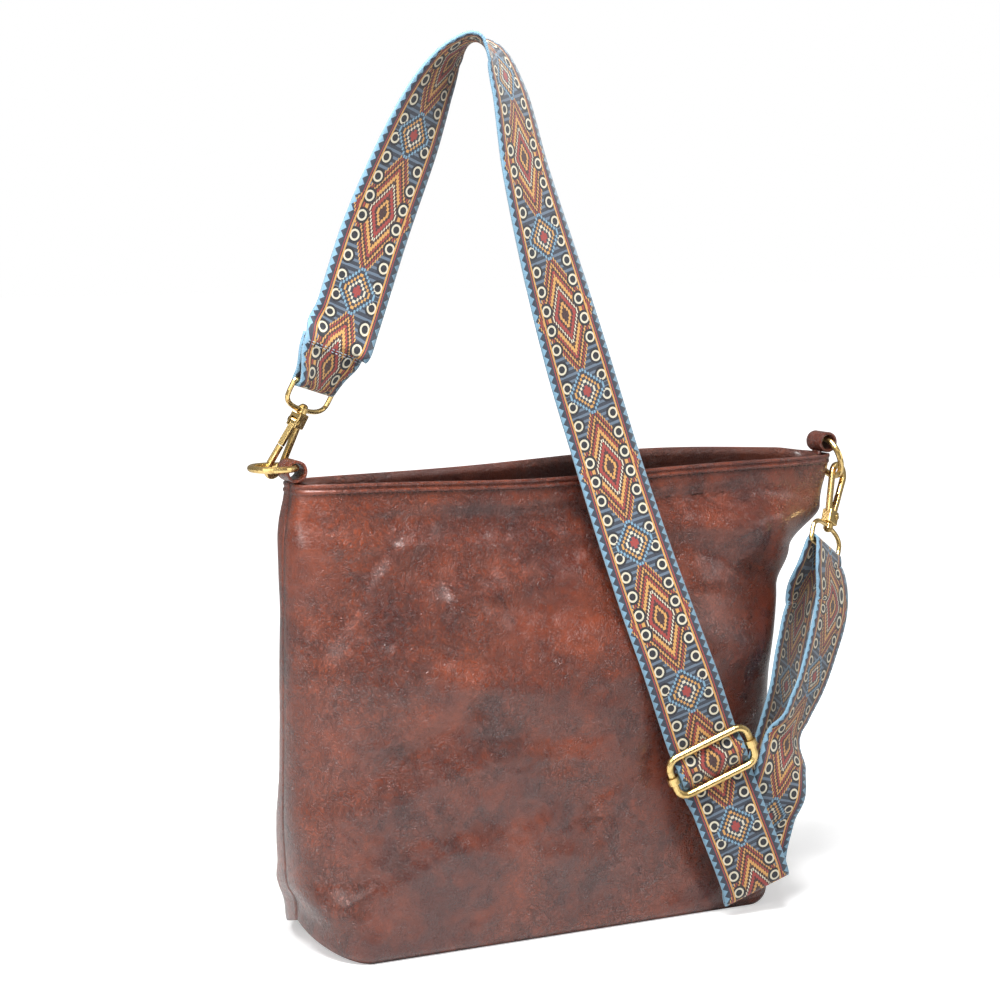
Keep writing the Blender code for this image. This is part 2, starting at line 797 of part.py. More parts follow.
def curve_through(stations, step):
    """A smooth line through the stations: place, width direction, width and share of skew."""
    knots = [np.concatenate([place, width, [size, skew]]) for place, width, size, skew in stations]
    knots = [2 * knots[0] - knots[1]] + knots + [2 * knots[-1] - knots[-2]]
    line = [knots[1]]
    for before, start, end, after in zip(knots, knots[1:], knots[2:], knots[3:]):
        gap = np.linalg.norm(end[:3] - start[:3])
        count = max(1, math.ceil(gap / step))
        times = [0.0]
        for a, b in ((before, start), (start, end), (end, after)):
            times.append(times[-1] + max(np.linalg.norm(b[:3] - a[:3]), 1e-6) ** 0.5)
        t0, t1, t2, t3 = times
        for k in range(1, count + 1):
            t = t1 + (t2 - t1) * k / count
            a1 = (t1 - t) / (t1 - t0) * before + (t - t0) / (t1 - t0) * start
            a2 = (t2 - t) / (t2 - t1) * start + (t - t1) / (t2 - t1) * end
            a3 = (t3 - t) / (t3 - t2) * end + (t - t2) / (t3 - t2) * after
            b1 = (t2 - t) / (t2 - t0) * a1 + (t - t0) / (t2 - t0) * a2
            b2 = (t3 - t) / (t3 - t1) * a2 + (t - t1) / (t3 - t1) * a3
            line.append((t2 - t) / (t2 - t1) * b1 + (t - t1) / (t2 - t1) * b2)
    return line


def ribbon_mesh(line):
    """The strip of the webbing's middle surface, three points wide."""
    places = [dot[:3] for dot in line]
    points = []
    for k, dot in enumerate(line):
        run = places[min(k + 1, len(line) - 1)] - places[max(k - 1, 0)]
        run = run / np.linalg.norm(run)
        width = dot[3:6] - run * np.dot(dot[3:6], run) * (1 - dot[7])
        width = width / np.linalg.norm(width)
        for share in (-0.5, 0.0, 0.5):
            points.append(tuple(float(v) for v in places[k] + width * dot[6] * share))
    rows = [points[k : k + 3] for k in range(0, len(points), 3)]
    mesh = bpy.data.meshes.new("strap")
    mesh.from_pydata(points, [], grid_faces(rows, 0))
    return mesh


def heading(azimuth, rise=0.0):
    """A direction, in degrees clockwise from +Y as seen from above and up from level."""
    level = math.cos(math.radians(rise))
    turn = math.radians(azimuth)
    return np.array([math.sin(turn) * level, math.cos(turn) * level, math.sin(math.radians(rise))])


def wrap(middle, hook_side, first_side, width, size, radius, steps=7):
    """Stations round a bar, from one side of it past the side that faces the hook."""
    stations = []
    for k in range(steps + 1):
        turn = math.pi * k / steps
        place = middle + radius * (math.cos(turn) * first_side + math.sin(turn) * hook_side)
        stations.append((place, width, size, 0.0))
    return stations


def unit(vector):
    vector = np.array(vector, float)
    return vector / np.linalg.norm(vector)


# Places of the two hooks: where the ring's wire crosses, the pull of the strap, and the turns

TAB_RISE = TAB_HOLE_RADIUS + TAB_WALL + 0.0006
TAB_LEFT = Vector((seam_left(1.0) + 0.0015, RIM_Y, HEIGHT + TAB_RISE))
TAB_RIGHT = Vector((seam_right(1.0) - 0.0020, RIM_Y, HEIGHT + TAB_RISE))
RING_TILT = math.radians(18)
GRIP_TURN_LEFT = math.radians(63)
GRIP_TURN_RIGHT = math.radians(25)
PULL_LEFT = Vector((0.40, -0.195, 0.895)).normalized()
PULL_RIGHT = Vector((-0.38, -0.28, -0.88)).normalized()
HOOK_AZIMUTH_LEFT = 238
HOOK_AZIMUTH_RIGHT = 66
LOOP_AZIMUTH_LEFT = 62
LOOP_AZIMUTH_RIGHT = 60


def left_ring_place():
    """The wire's middle inside the tab and the middle of the ring, which lies level."""
    bow, off = ring_seat()
    wire = TAB_LEFT + Vector((bow, 0, off))
    return wire, wire + Vector((-RING_RADIUS, 0, 0))


def ring_drop():
    """The downward direction in the plane of the right ring, which leans off the side seam."""
    return Vector((math.sin(RING_TILT), 0, -math.cos(RING_TILT)))


def right_ring_place():
    bow, off = ring_seat()
    drop = ring_drop()
    wire = TAB_RIGHT - drop * bow + Vector((-drop.z, 0, drop.x)) * off
    return wire, wire + drop * RING_RADIUS


def hook_frames():
    """For each hand: the grip point, the pull, the hook's placement and the loop's placement."""
    _, left_middle = left_ring_place()
    reach = Vector((math.cos(GRIP_TURN_LEFT), math.sin(GRIP_TURN_LEFT), 0))
    left_grip = left_middle + reach * RING_RADIUS
    _, right_middle = right_ring_place()
    reach = ring_drop() * math.cos(GRIP_TURN_RIGHT) + Vector((0, -math.sin(GRIP_TURN_RIGHT), 0))
    right_grip = right_middle + reach * RING_RADIUS
    frames = {}
    for hand, grip, pull, arms, azimuth in (
        ("left", left_grip, PULL_LEFT, HOOK_AZIMUTH_LEFT, LOOP_AZIMUTH_LEFT),
        ("right", right_grip, PULL_RIGHT, HOOK_AZIMUTH_RIGHT, LOOP_AZIMUTH_RIGHT),
    ):
        frames[hand] = {
            "pull": pull,
            "hook": frame_of(grip, Vector(heading(arms)), pull),
            "loop": frame_of(grip, Vector(heading(azimuth)), pull),
            "boss": grip + pull * (BLOCK_HIGH + GAP + BOSS_LENGTH / 2),
            "bar": grip + pull * (BLOCK_HIGH + GAP + BOSS_LENGTH / 2 + LOOP_HEIGHT),
        }
    return frames


# The strap's route: places chosen along the way it hangs and lies, with the heading of its width

# Share of the sewn length, heading, width and extra room between the two layers
SEWN_PART = (
    (0.22, 64, 0.0390, 0.0012),
    (0.42, 68, 0.0420, 0.0009),
    (0.62, 73, 0.0445, 0.0006),
    (0.82, 77, 0.0450, 0.0004),
    (1.0, 80, 0.0450, 0.0004),
)
RISE = (
    (-0.1290, -0.0155, 0.3720, 81),
    (-0.1099, -0.0140, 0.4232, 82),
    (-0.0911, -0.0180, 0.4702, 74),
    (-0.0750, -0.0220, 0.5074, 58),
    (-0.0620, -0.0245, 0.5265, 44),
    (-0.0518, -0.0265, 0.5330, 38),
    (-0.0415, -0.0290, 0.5270, 44),
    (-0.0322, -0.0310, 0.5062, 52),
    (-0.0207, -0.0330, 0.4555, 64),
    (0.0080, -0.0365, 0.3576, 84),
    (0.0268, -0.0400, 0.2970, 88),
    (0.0384, -0.0500, 0.2500, 92),
    (0.0505, -0.0610, 0.2040, 96),
    (0.0660, -0.0700, 0.1550, 99),
)
SLIDER_MIDDLE = np.array([0.0858, -0.0740, 0.1020])
SLIDER_RUN = unit((0.386, -0.020, -0.922))
SLIDER_HEADING = 100

# Where the inner and outer runs meet the right loop, and how far apart they come to it
LOOP_APPROACH = 0.012
LOOP_SPREAD_FRONT = 0.0025
LOOP_SPREAD_BACK = 0.0028
LOOP_EASE = 0.0006

# Places of the lower runs: x, y, z, heading, rise and share of skew
LOWER = (
    (0.1035, -0.0735, 0.0590, 100, 22, 0),
    (0.1140, -0.0735, 0.0350, 100, 22, 1),
    (0.1192, -0.0729, 0.0225, 100, 22, 1),
    (0.1212, -0.0716, 0.0172, 100, 22, 1),
    (0.1219, -0.0696, 0.0156, 100, 22, 1),
    (0.1221, -0.0676, 0.0170, 100, 22, 1),
    (0.1222, -0.0664, 0.0215, 100, 21, 1),
    (0.1230, -0.0660, 0.0300, 99, 18, 1),
    (0.1255, -0.0660, 0.0410, 96, 13, 1),
    (0.1290, -0.0668, 0.0540, 89, 8, 0.7),
    (0.1320, -0.0698, 0.0650, 88, 5, 0.4),
    (0.1352, -0.0712, 0.0760, 86, 3, 0),
    (0.1405, -0.0692, 0.0935, 72, 0, 0),
    (0.1488, -0.0620, 0.1095, 58, 0, 0),
    (0.1578, -0.0600, 0.1236, 57, 0, 0),
    (0.1703, -0.0560, 0.1415, 58, 0, 0),
    (0.1831, -0.0500, 0.1650, 59, 0, 0),
    (0.1935, -0.0430, 0.1886, 60, 0, 0),
)
INNER = (
    (0.1850, -0.0215, 0.1850, 58, 0, 0),
    (0.1740, -0.0270, 0.1580, 56, 0, 0),
    (0.1620, -0.0370, 0.1300, 56, 0, 0),
    (0.1500, -0.0460, 0.1030, 64, 0, 0),
    (0.1410, -0.0515, 0.0820, 76, 0, 0.4),
    (0.1310, -0.0555, 0.0640, 86, 0, 0.8),
    (0.1255, -0.0570, 0.0540, 90, 0, 1),
    (0.1235, -0.0580, 0.0495, 90, 0, 1),
    (0.1225, -0.0600, 0.0476, 90, 2, 1),
    (0.1215, -0.0620, 0.0495, 90, 4, 1),
    (0.1190, -0.0630, 0.0550, 91, 8, 1),
    (0.1130, -0.0634, 0.0630, 92, 14, 0.8),
    (0.1060, -0.0654, 0.0700, 96, 18, 0.4),
)


def slider_frame_axes():
    width = heading(SLIDER_HEADING)
    width = unit(width - SLIDER_RUN * np.dot(width, SLIDER_RUN))
    face = np.cross(SLIDER_RUN, width)
    return width, face


def bar_offset():
    """How far the slider's bar lies behind the plane of its frame."""
    return 0.0012 - STRAP_THICK / 2 - GAP - STRAP_THICK - GAP - SLIDER_BAR_RADIUS


def layer_side(azimuth, pull):
    """The direction, towards the front, in which the layers of the sewn end lie apart."""
    side = unit(np.cross(heading(azimuth), pull))
    return side if side[1] < 0 else -side


def strap_stations():
    frames = hook_frames()
    gathered = LOOP_WIDTH - 2 * LOOP_WIRE - 4 * GAP
    radius = LOOP_WIRE + 2 * GAP + STRAP_THICK / 2
    layer = STRAP_THICK / 2 + 2 * GAP
    stations = []
    left = frames["left"]
    bar = np.array(left["bar"])
    pull = np.array(left["pull"])
    width = np.array(left["loop"].to_3x3().col[0])
    front = unit(np.cross(width, pull))
    front = front if front[1] < 0 else -front
    for share, azimuth, size, room in reversed(SEWN_PART):
        off = layer_side(azimuth, pull) * (layer + room)
        stations.append((bar + pull * share * SEWN_TAIL - off, heading(azimuth), size, 0.0))
    stations += wrap(bar, -pull, -front, width, gathered, radius)
    for share, azimuth, size, room in SEWN_PART:
        off = layer_side(azimuth, pull) * (layer + room)
        stations.append((bar + pull * share * SEWN_TAIL + off, heading(azimuth), size, 0.0))
    for x, y, z, azimuth in RISE:
        stations.append((np.array([x, y, z]), heading(azimuth), STRAP_WIDTH, 0.0))
    stations += slider_stations()
    for x, y, z, azimuth, rise, skew in LOWER:
        stations.append((np.array([x, y, z]), heading(azimuth, rise), STRAP_WIDTH, skew))
    right = frames["right"]
    bar = np.array(right["bar"])
    pull = np.array(right["pull"])
    width = np.array(right["loop"].to_3x3().col[0])
    front = unit(np.cross(width, pull))
    front = front if front[1] < 0 else -front
    approach = bar + pull * LOOP_APPROACH
    stations.append((approach + front * (radius + LOOP_SPREAD_FRONT), width, gathered, 0.0))
    stations += wrap(bar, -pull, front, width, gathered, radius + LOOP_EASE, 5)
    stations.append((approach - front * (radius + LOOP_SPREAD_BACK), width, gathered, 0.0))
    for x, y, z, azimuth, rise, skew in INNER:
        stations.append((np.array([x, y, z]), heading(azimuth, rise), STRAP_WIDTH, skew))
    stations += inner_end_stations()
    return stations


def slider_stations():
    """The strap's way behind the frame's two long sides and in front of the bar."""
    width, face = slider_frame_axes()
    behind = -(SLIDER_WIRE + GAP + STRAP_THICK / 2)
    ahead = bar_offset() + SLIDER_BAR_RADIUS + GAP + STRAP_THICK + GAP + STRAP_THICK / 2
    reach = SLIDER_HEIGHT / 2
    half = ((1.45, behind), (1.0, behind - 0.0001), (0.72, behind + 0.0011), (0.35, ahead - 0.0007))
    route = [(-share, off) for share, off in half] + [(0.0, ahead)] + list(reversed(half))
    stations = []
    for share, off in route:
        place = SLIDER_MIDDLE + SLIDER_RUN * share * reach + face * off
        stations.append((place, width, STRAP_WIDTH, 0.0))
    return stations


def inner_end_stations():
    """The inner run's sewn end: up behind the outer run, over the slider's bar and back down."""
    width, face = slider_frame_axes()
    bar = SLIDER_MIDDLE + face * bar_offset()
    radius = SLIDER_BAR_RADIUS + GAP + STRAP_THICK / 2
    reach = SLIDER_HEIGHT / 2
    behind = -(SLIDER_WIRE + GAP + STRAP_THICK / 2)
    under = behind - STRAP_THICK - GAP
    stations = []
    for run, off in ((reach + 0.010, under - 0.0010), (reach + 0.003, under - 0.0004),
                     (0.70 * reach, under + 0.0006), (0.30 * reach, -0.0015)):
        stations.append((SLIDER_MIDDLE + SLIDER_RUN * run + face * off, width, STRAP_WIDTH, 0.0))
    stations += wrap(bar, -SLIDER_RUN, face, width, STRAP_WIDTH, radius)
    for run in (0.45 * reach, reach, reach + 0.010):
        off = under - STRAP_THICK - 2 * GAP - 0.001
        stations.append((SLIDER_MIDDLE + SLIDER_RUN * run + face * off, width, STRAP_WIDTH, 0.0))
    return stations


def make_strap(group, finish):
    mesh = ribbon_mesh(curve_through(strap_stations(), 0.008))
    mesh.materials.append(finish)
    mesh.shade_smooth()
    thing = bpy.data.objects.new("strap", mesh)
    group.objects.link(thing)
    wall = thing.modifiers.new("thickness", "SOLIDIFY")
    wall.thickness = STRAP_THICK
    wall.offset = 0
    return thing


def slider_path():
    half_long = SLIDER_LENGTH / 2 - SLIDER_CORNER
    half_short = SLIDER_HEIGHT / 2 - SLIDER_CORNER
    path = []
    for quarter in range(4):
        sign_x = 1 if quarter in (0, 3) else -1
        sign_y = 1 if quarter in (0, 1) else -1
        for k in range(6):
            turn = (quarter + k / 5) * math.pi / 2
            path.append((
                sign_x * half_long + SLIDER_CORNER * math.cos(turn),
                sign_y * half_short + SLIDER_CORNER * math.sin(turn),
                0,
            ))
    return path


def make_slider(group, finish):
    """The slider's wire frame and the bar whose eyes close round the frame's short sides."""
    width, face = slider_frame_axes()
    placement = frame_of(Vector(SLIDER_MIDDLE), Vector(width), Vector(-SLIDER_RUN))
    front = placement.to_3x3().col[2].dot(Vector(face))
    behind = bar_offset() * (1 if front > 0 else -1)
    frame_mesh = wire_shape(slider_path(), SLIDER_WIRE, True, 12)
    place_piece("slider_frame", frame_mesh, placement, Vector(SLIDER_MIDDLE), group, finish)
    reach = SLIDER_LENGTH / 2
    inner = SLIDER_WIRE + GAP
    outer = inner + 0.0011
    mesh = rod_shape(SLIDER_BAR_RADIUS, -reach + inner, reach - inner, 14, "X")
    mesh.transform(Matrix.Translation((0, 0, behind)))
    eyes = []
    holes = []
    for hand in (-1, 1):
        eye = rod_shape(outer, -0.0022, 0.0022, 18)
        eye.transform(Matrix.Translation((hand * reach, 0, 0)))
        eyes.append(eye)
        hole = rod_shape(inner, -0.004, 0.004, 18)
        hole.transform(Matrix.Translation((hand * reach, 0, 0)))
        holes.append(hole)
    place_piece("slider_bar", mesh, placement, Vector(SLIDER_MIDDLE), group, finish, holes, eyes)


def make_hardware(group, finishes):
    """The tabs, rings, hooks, gates, rivets, posts and loops of both corners."""
    brass, pin, leather = finishes
    frames = hook_frames()
    for hand in ("left", "right"):
        tab = TAB_LEFT if hand == "left" else TAB_RIGHT
        seam = seam_left(1.0) if hand == "left" else seam_right(1.0)
        inward = 1 if hand == "left" else -1
        tail_x = seam + inward * TAB_INSET
        make_tab(f"tab_{hand}", tab, tail_x, group, leather)
        if hand == "left":
            _, middle = left_ring_place()
            make_ring("ring_left", middle, (1, 0, 0), (0, 1, 0), TAB_LEFT, group, brass)
        else:
            _, middle = right_ring_place()
            make_ring("ring_right", middle, (0, 1, 0), -ring_drop(), TAB_RIGHT, group, brass)
        place = frames[hand]["hook"]
        boss = frames[hand]["boss"]
        pivot = place @ Vector((GATE_PIVOT_OFFSET, GATE_PIVOT_HEIGHT, 0))
        make_hook(f"hook_{hand}", place, boss, group, brass)
        make_gate(f"gate_{hand}", place, pivot, group, brass)
        make_rivet(f"gate_rivet_{hand}", place, pivot, group, pin)
        make_post(f"swivel_post_{hand}", place, boss, group, pin)
        make_loop(f"strap_loop_{hand}", frames[hand]["loop"], frames[hand]["bar"], group, brass)


def main():
    clear_scene()
    group = make_collection("tote_bag")
    leather = make_material("brown_leather", LEATHER_BROWN, 0.38, 0.0)
    facing = make_material("facing_leather", FACING_BROWN, 0.45, 0.0)
    brass = make_material("brushed_brass", BRASS, 0.28, 1.0)
    pin = make_material("pin_brass", STEEL_BRASS, 0.35, 1.0)
    webbing = make_material("printed_webbing", WEBBING_BLUE, 0.75, 0.0)
    make_panels(group, leather)
    make_facing(group, facing)
    make_hardware(group, (brass, pin, leather))
    make_strap(group, webbing)
    make_slider(group, brass)


main()
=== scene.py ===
"""Looks of the slouchy leather tote bag: leather body, seams, printed webbing strap, brass and stage.

Metres, +Z up, the front is at -Y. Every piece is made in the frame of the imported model.
"""

import math

import bmesh
import bpy
import numpy as np
from bpy.props import FloatProperty, FloatVectorProperty, IntProperty, PointerProperty
from bpy.types import Operator, Panel, PropertyGroup
from mathutils import Matrix, Vector, noise


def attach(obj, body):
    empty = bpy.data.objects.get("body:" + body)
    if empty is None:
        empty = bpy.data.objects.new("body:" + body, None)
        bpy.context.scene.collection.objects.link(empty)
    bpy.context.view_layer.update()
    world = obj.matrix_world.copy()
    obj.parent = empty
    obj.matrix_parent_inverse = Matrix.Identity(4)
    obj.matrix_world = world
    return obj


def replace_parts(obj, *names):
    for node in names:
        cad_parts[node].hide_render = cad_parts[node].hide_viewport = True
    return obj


bl_info = {
    "name": "Leather tote bag looks",
    "version": (1, 0, 0),
    "blender": (4, 5, 0),
    "location": "View3D > Sidebar > Tote Bag",
    "description": "Makes the leather, webbing, brass and stage of a slouchy tote bag",
    "category": "Add Mesh",
}

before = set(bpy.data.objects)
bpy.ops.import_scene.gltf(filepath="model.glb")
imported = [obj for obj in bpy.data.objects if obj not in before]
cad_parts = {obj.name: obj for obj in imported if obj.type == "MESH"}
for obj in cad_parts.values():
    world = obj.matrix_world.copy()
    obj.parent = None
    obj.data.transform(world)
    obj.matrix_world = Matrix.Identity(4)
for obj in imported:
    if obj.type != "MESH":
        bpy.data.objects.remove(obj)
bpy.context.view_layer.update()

# Sizes that the solids also have
BASE_WIDTH = 0.260
BASE_DEPTH = 0.110
HEIGHT = 0.280
WALL = 0.0016
BASE_EDGE_ROUND = 0.004
BASE_FLAT_SHARE = 0.78
SIDE_BULGE = 0.027
SIDE_LIFT = 0.016
LEAN_RIGHT = 0.0205
LEAN_FORWARD = 0.014
MOUTH_FRONT = 0.018
MOUTH_BACK = 0.024
RIM_SAG = 0.0035
RIM_RISE_BACK = 0.006
FACING_WALL = 0.0012
GAP = 0.0003
TAB_WALL = 0.0018
TAB_INSET = 0.0055
LOOP_WIDTH = 0.041
LOOP_WIRE = 0.0015
STRAP_WIDTH = 0.045
STRAP_THICK = 0.0016
SLIDER_HEIGHT = 0.0254
SLIDER_WIRE = 0.0023
SLIDER_BAR_RADIUS = 0.00175
SEWN_TAIL = 0.026
LOW_BLEND = 0.17
SECTION_SAMPLES = 361
TOP_WIDTH = BASE_WIDTH + BASE_DEPTH
SIDE_COLUMNS = 16
FRONT_COLUMNS = 110
FACING_LEVELS = (0.931, 0.948, 0.965, 0.982, 0.999)

# Camera that the bag is seen with
CAMERA_PLACE = (-0.67902, -1.29010, 0.44413)
CAMERA_TURN = 0.47124
CAMERA_DIP = 0.12619
CAMERA_LENS = 86.4
FLOOR_GLOW = 0.45

# Ends of the strap: the loop's bar, the pull on it and the direction of its width
END_FRAMES = {
    "left": {
        "bar": (-0.14791, -0.01256, 0.33585),
        "pull": (0.40019, -0.19509, 0.89543),
        "width": (0.80631, 0.53934, -0.24285),
    },
    "right": {
        "bar": (0.19293, -0.03407, 0.21976),
        "pull": (-0.38053, -0.28039, -0.88123),
        "width": (0.77851, 0.41718, -0.46891),
    },
}

# Folds pressed into the leather: middle x, middle z, turn in degrees, half length, half width, depth
FRONT_FOLDS = (
    (-0.030, 0.249, 3, 0.095, 0.011, -0.0052),
    (-0.020, 0.217, 10, 0.060, 0.010, 0.0040),
    (-0.075, 0.205, -25, 0.040, 0.008, 0.0028),
    (0.010, 0.196, -8, 0.050, 0.008, -0.0026),
    (-0.085, 0.178, -22, 0.045, 0.007, -0.0024),
    (-0.055, 0.160, -14, 0.050, 0.008, 0.0026),
    (-0.100, 0.128, 30, 0.045, 0.007, -0.0022),
    (-0.090, 0.105, 18, 0.050, 0.009, 0.0022),
    (-0.020, 0.125, -6, 0.050, 0.008, -0.0018),
    (-0.060, 0.078, 12, 0.060, 0.009, -0.0022),
    (-0.110, 0.048, 24, 0.040, 0.008, 0.0020),
    (-0.010, 0.050, -10, 0.060, 0.009, 0.0022),
    (0.020, 0.090, 35, 0.045, 0.007, -0.0018),
    (-0.128, 0.222, 58, 0.040, 0.006, -0.0024),
    (-0.105, 0.236, 40, 0.030, 0.006, 0.0022),
    (0.115, 0.240, -8, 0.050, 0.008, 0.0030),
    (0.130, 0.214, -18, 0.050, 0.010, -0.0045),
    (0.105, 0.262, 4, 0.050, 0.006, -0.0020),
)
FOLD_FREE = 0.020
HEM_STITCH = 0.0060


# Small tools


def smooth(value):
    value = min(max(value, 0.0), 1.0)
    return value * value * (3 - 2 * value)


def bump(value, middle, reach):
    return math.exp(-(((value - middle) / reach) ** 2))


def along(points, value):
    """Reads a profile given as (position, size) pairs, with smooth steps between them."""
    if value <= points[0][0]:
        return points[0][1]
    for (low, start), (high, end) in zip(points, points[1:]):
        if value <= high:
            return start + (end - start) * smooth((value - low) / (high - low))
    return points[-1][1]


def link(thing):
    bpy.context.scene.collection.objects.link(thing)
    return thing


def piece(name, mesh, material, body):
    """A finished mesh as a piece that rides on a body and wears the given material."""
    mesh.materials.clear()
    mesh.materials.append(material)
    mesh.shade_smooth()
    thing = link(bpy.data.objects.new(name, mesh))
    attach(thing, body)
    return thing


SIDE_REACH = (TOP_WIDTH - BASE_WIDTH) / 2
LEFT_SEAM = (
    (0.0, SIDE_BULGE),
    (0.14, 0.62 * SIDE_REACH),
    (0.30, 0.66 * SIDE_REACH),
    (0.86, 0.70 * SIDE_REACH),
    (1.0, SIDE_REACH - LEAN_RIGHT),
)
RIGHT_SEAM = (
    (0.0, SIDE_BULGE),
    (0.14, 0.62 * SIDE_REACH),
    (0.30, 0.64 * SIDE_REACH),
    (0.50, 0.60 * SIDE_REACH),
    (0.70, 0.72 * SIDE_REACH),
    (0.79, 0.86 * SIDE_REACH),
    (0.88, 1.28 * SIDE_REACH),
    (1.0, SIDE_REACH + LEAN_RIGHT),
)


def seam_left(level):
    return -BASE_WIDTH / 2 - along(LEFT_SEAM, level)


def seam_right(level):
    return BASE_WIDTH / 2 + along(RIGHT_SEAM, level)


def half_depth(level, front):
    if front:
        points = (
            (0.0, BASE_DEPTH / 2),
            (0.20, BASE_DEPTH / 2 + 0.004),
            (0.55, BASE_DEPTH / 2 + 0.001),
            (0.86, MOUTH_FRONT + 0.010),
            (0.93, MOUTH_FRONT),
            (1.0, MOUTH_FRONT),
        )
    else:
        points = (
            (0.0, BASE_DEPTH / 2),
            (0.20, BASE_DEPTH / 2 + 0.002),
            (0.55, BASE_DEPTH / 2 - 0.003),
            (0.90, MOUTH_BACK + 0.008),
            (1.0, MOUTH_BACK),
        )
    return along(points, level)


def roundness(level):
    return along(((0.0, 6.0), (0.18, 3.0), (0.40, 2.4), (0.70, 2.5), (1.0, 5.0)), level)


def slump(x, z, front):
    """Inward hollows and outward folds of the soft front, as a change of depth."""
    if not front:
        return 0.0
    low_fold = 0.008 * bump(x, 0.145, 0.034) * bump(z, 0.190, 0.022)
    wing = -0.003 * bump(x, 0.145, 0.030) * bump(z, 0.235, 0.022)
    corner = 0.012 * smooth((x - 0.155) / 0.035) * bump(z, 0.240, 0.032)
    hollow = 0.004 * bump(x, -0.010, 0.110) * bump(z, 0.232, 0.016)
    strap_dent = 0.006 * bump(x, 0.095, 0.050) * bump(z, 0.085, 0.050)
    return low_fold + wing + corner + hollow + strap_dent


def rim_wave(x, front):
    middle = (seam_left(1.0) + seam_right(1.0)) / 2
    across = (x - middle) / (TOP_WIDTH / 2)
    if front:
        return -RIM_SAG * bump(across, -0.15, 0.45)
    return RIM_RISE_BACK * bump(across, 0.35, 0.55) * smooth((1 - abs(across)) * 8)


def base_edge(place):
    """A point of the base outline; place runs from 0 at the left seam to 1 at the right one."""
    side_share = (BASE_DEPTH / 2) / (BASE_WIDTH + BASE_DEPTH)
    half_width = BASE_WIDTH / 2
    half = BASE_DEPTH / 2 - BASE_EDGE_ROUND
    if side_share <= place <= 1 - side_share:
        across = (place - side_share) / (1 - 2 * side_share)
        return (2 * across - 1) * half_width, half, 0.0
    turn = 1 - min(place, 1 - place) / side_share
    hand = -1 if place < 0.5 else 1
    angle = turn * math.pi / 2
    return (
        hand * (half_width + SIDE_BULGE * math.sin(angle)),
        half * math.cos(angle),
        SIDE_LIFT * turn**1.6,
    )


def section(level, front, inset_x, inset_y):
    """Half a cross-section, spread evenly along its length: functions of the place from 0 to 1."""
    left = seam_left(level) + inset_x
    right = seam_right(level) - inset_x
    middle = (left + right) / 2
    reach = (right - left) / 2
    depth = half_depth(level, front) - inset_y
    power = 2 / roundness(level)
    turn = np.linspace(0, math.pi, SECTION_SAMPLES)
    x = middle - reach * np.sign(np.cos(turn)) * np.abs(np.cos(turn)) ** power
    y = depth * np.abs(np.sin(turn)) ** power
    length = np.concatenate([[0], np.cumsum(np.hypot(np.diff(x), np.diff(y)))])
    return length / length[-1], x, y


def wall_row(level, front, places, inset_x, inset_y):
    """Points of one level of the wall, from the left seam to the right one."""
    share, xs, ys = section(level, front, inset_x, inset_y)
    hand = -1 if front else 1
    lean = -LEAN_FORWARD * smooth(level)
    mix = smooth(level / LOW_BLEND)
    lowest = BASE_EDGE_ROUND * max(0.0, 1 - level / 0.02) ** 2
    row = []
    for place in places:
        x = float(np.interp(place, share, xs))
        y = float(np.interp(place, share, ys))
        edge_x, edge_y, edge_z = base_edge(place)
        edge_y += (BASE_EDGE_ROUND - lowest) * min(1.0, edge_y / (BASE_DEPTH / 2 - BASE_EDGE_ROUND))
        x = edge_x + (x - edge_x) * mix
        y = edge_y + (y - edge_y) * mix
        z = level * HEIGHT + edge_z * (1 - mix)
        z += rim_wave(x, front) * smooth((level - 0.6) / 0.4)
        y = y - slump(x, z, front) * min(1.0, y / (BASE_DEPTH / 4))
        row.append((x, hand * (y + GAP / 2) + lean, z))
    return row


def places_across():
    """Places of the panel's columns, with the side columns on the boxed corner's seam."""
    side_share = (BASE_DEPTH / 2) / (BASE_WIDTH + BASE_DEPTH)
    left = np.linspace(0, side_share, SIDE_COLUMNS + 1)
    front = np.linspace(side_share, 1 - side_share, FRONT_COLUMNS + 1)
    right = np.linspace(1 - side_share, 1, SIDE_COLUMNS + 1)
    return [float(value) for value in np.concatenate([left, front[1:], right[1:]])]


def floor_rows(front):
    """Rows of the base half, from its middle seam out to the front or back edge."""
    side_share = (BASE_DEPTH / 2) / (BASE_WIDTH + BASE_DEPTH)
    hand = -1 if front else 1
    flat = BASE_FLAT_SHARE * BASE_WIDTH / 2
    rows = []
    for i in range(SIDE_COLUMNS + 1):
        edge_x, edge_y, edge_z = base_edge(side_share * i / SIDE_COLUMNS)
        row = []
        for j in range(FRONT_COLUMNS + 1):
            x = edge_x * (1 - 2 * j / FRONT_COLUMNS)
            rise = smooth((abs(x) - flat) / (abs(edge_x) - flat))
            row.append((x, hand * (edge_y + GAP / 2), edge_z * rise))
        rows.append(row)
    return rows


def grid_faces(rows, start):
    """Quads of a grid whose vertices are stored row after row, facing the viewer from outside."""
    count = len(rows[0])
    faces = []
    for i in range(len(rows) - 1):
        for j in range(count - 1):
            a = start + i * count + j
            faces.append((a, a + 1, a + 1 + count, a + count))
    return faces


def weld(points, faces):
    """Merges vertices that lie on one spot, so that neighbouring grids share their edge."""
    seen = {}
    kept = []
    index = []
    for point in points:
        key = tuple(round(value, 7) for value in point)
        if key not in seen:
            seen[key] = len(kept)
            kept.append(point)
        index.append(seen[key])
    result = []
    for face in faces:
        turned = []
        for corner in face:
            if index[corner] not in turned:
                turned.append(index[corner])
        if len(turned) > 2:
            result.append(tuple(turned))
    return kept, result


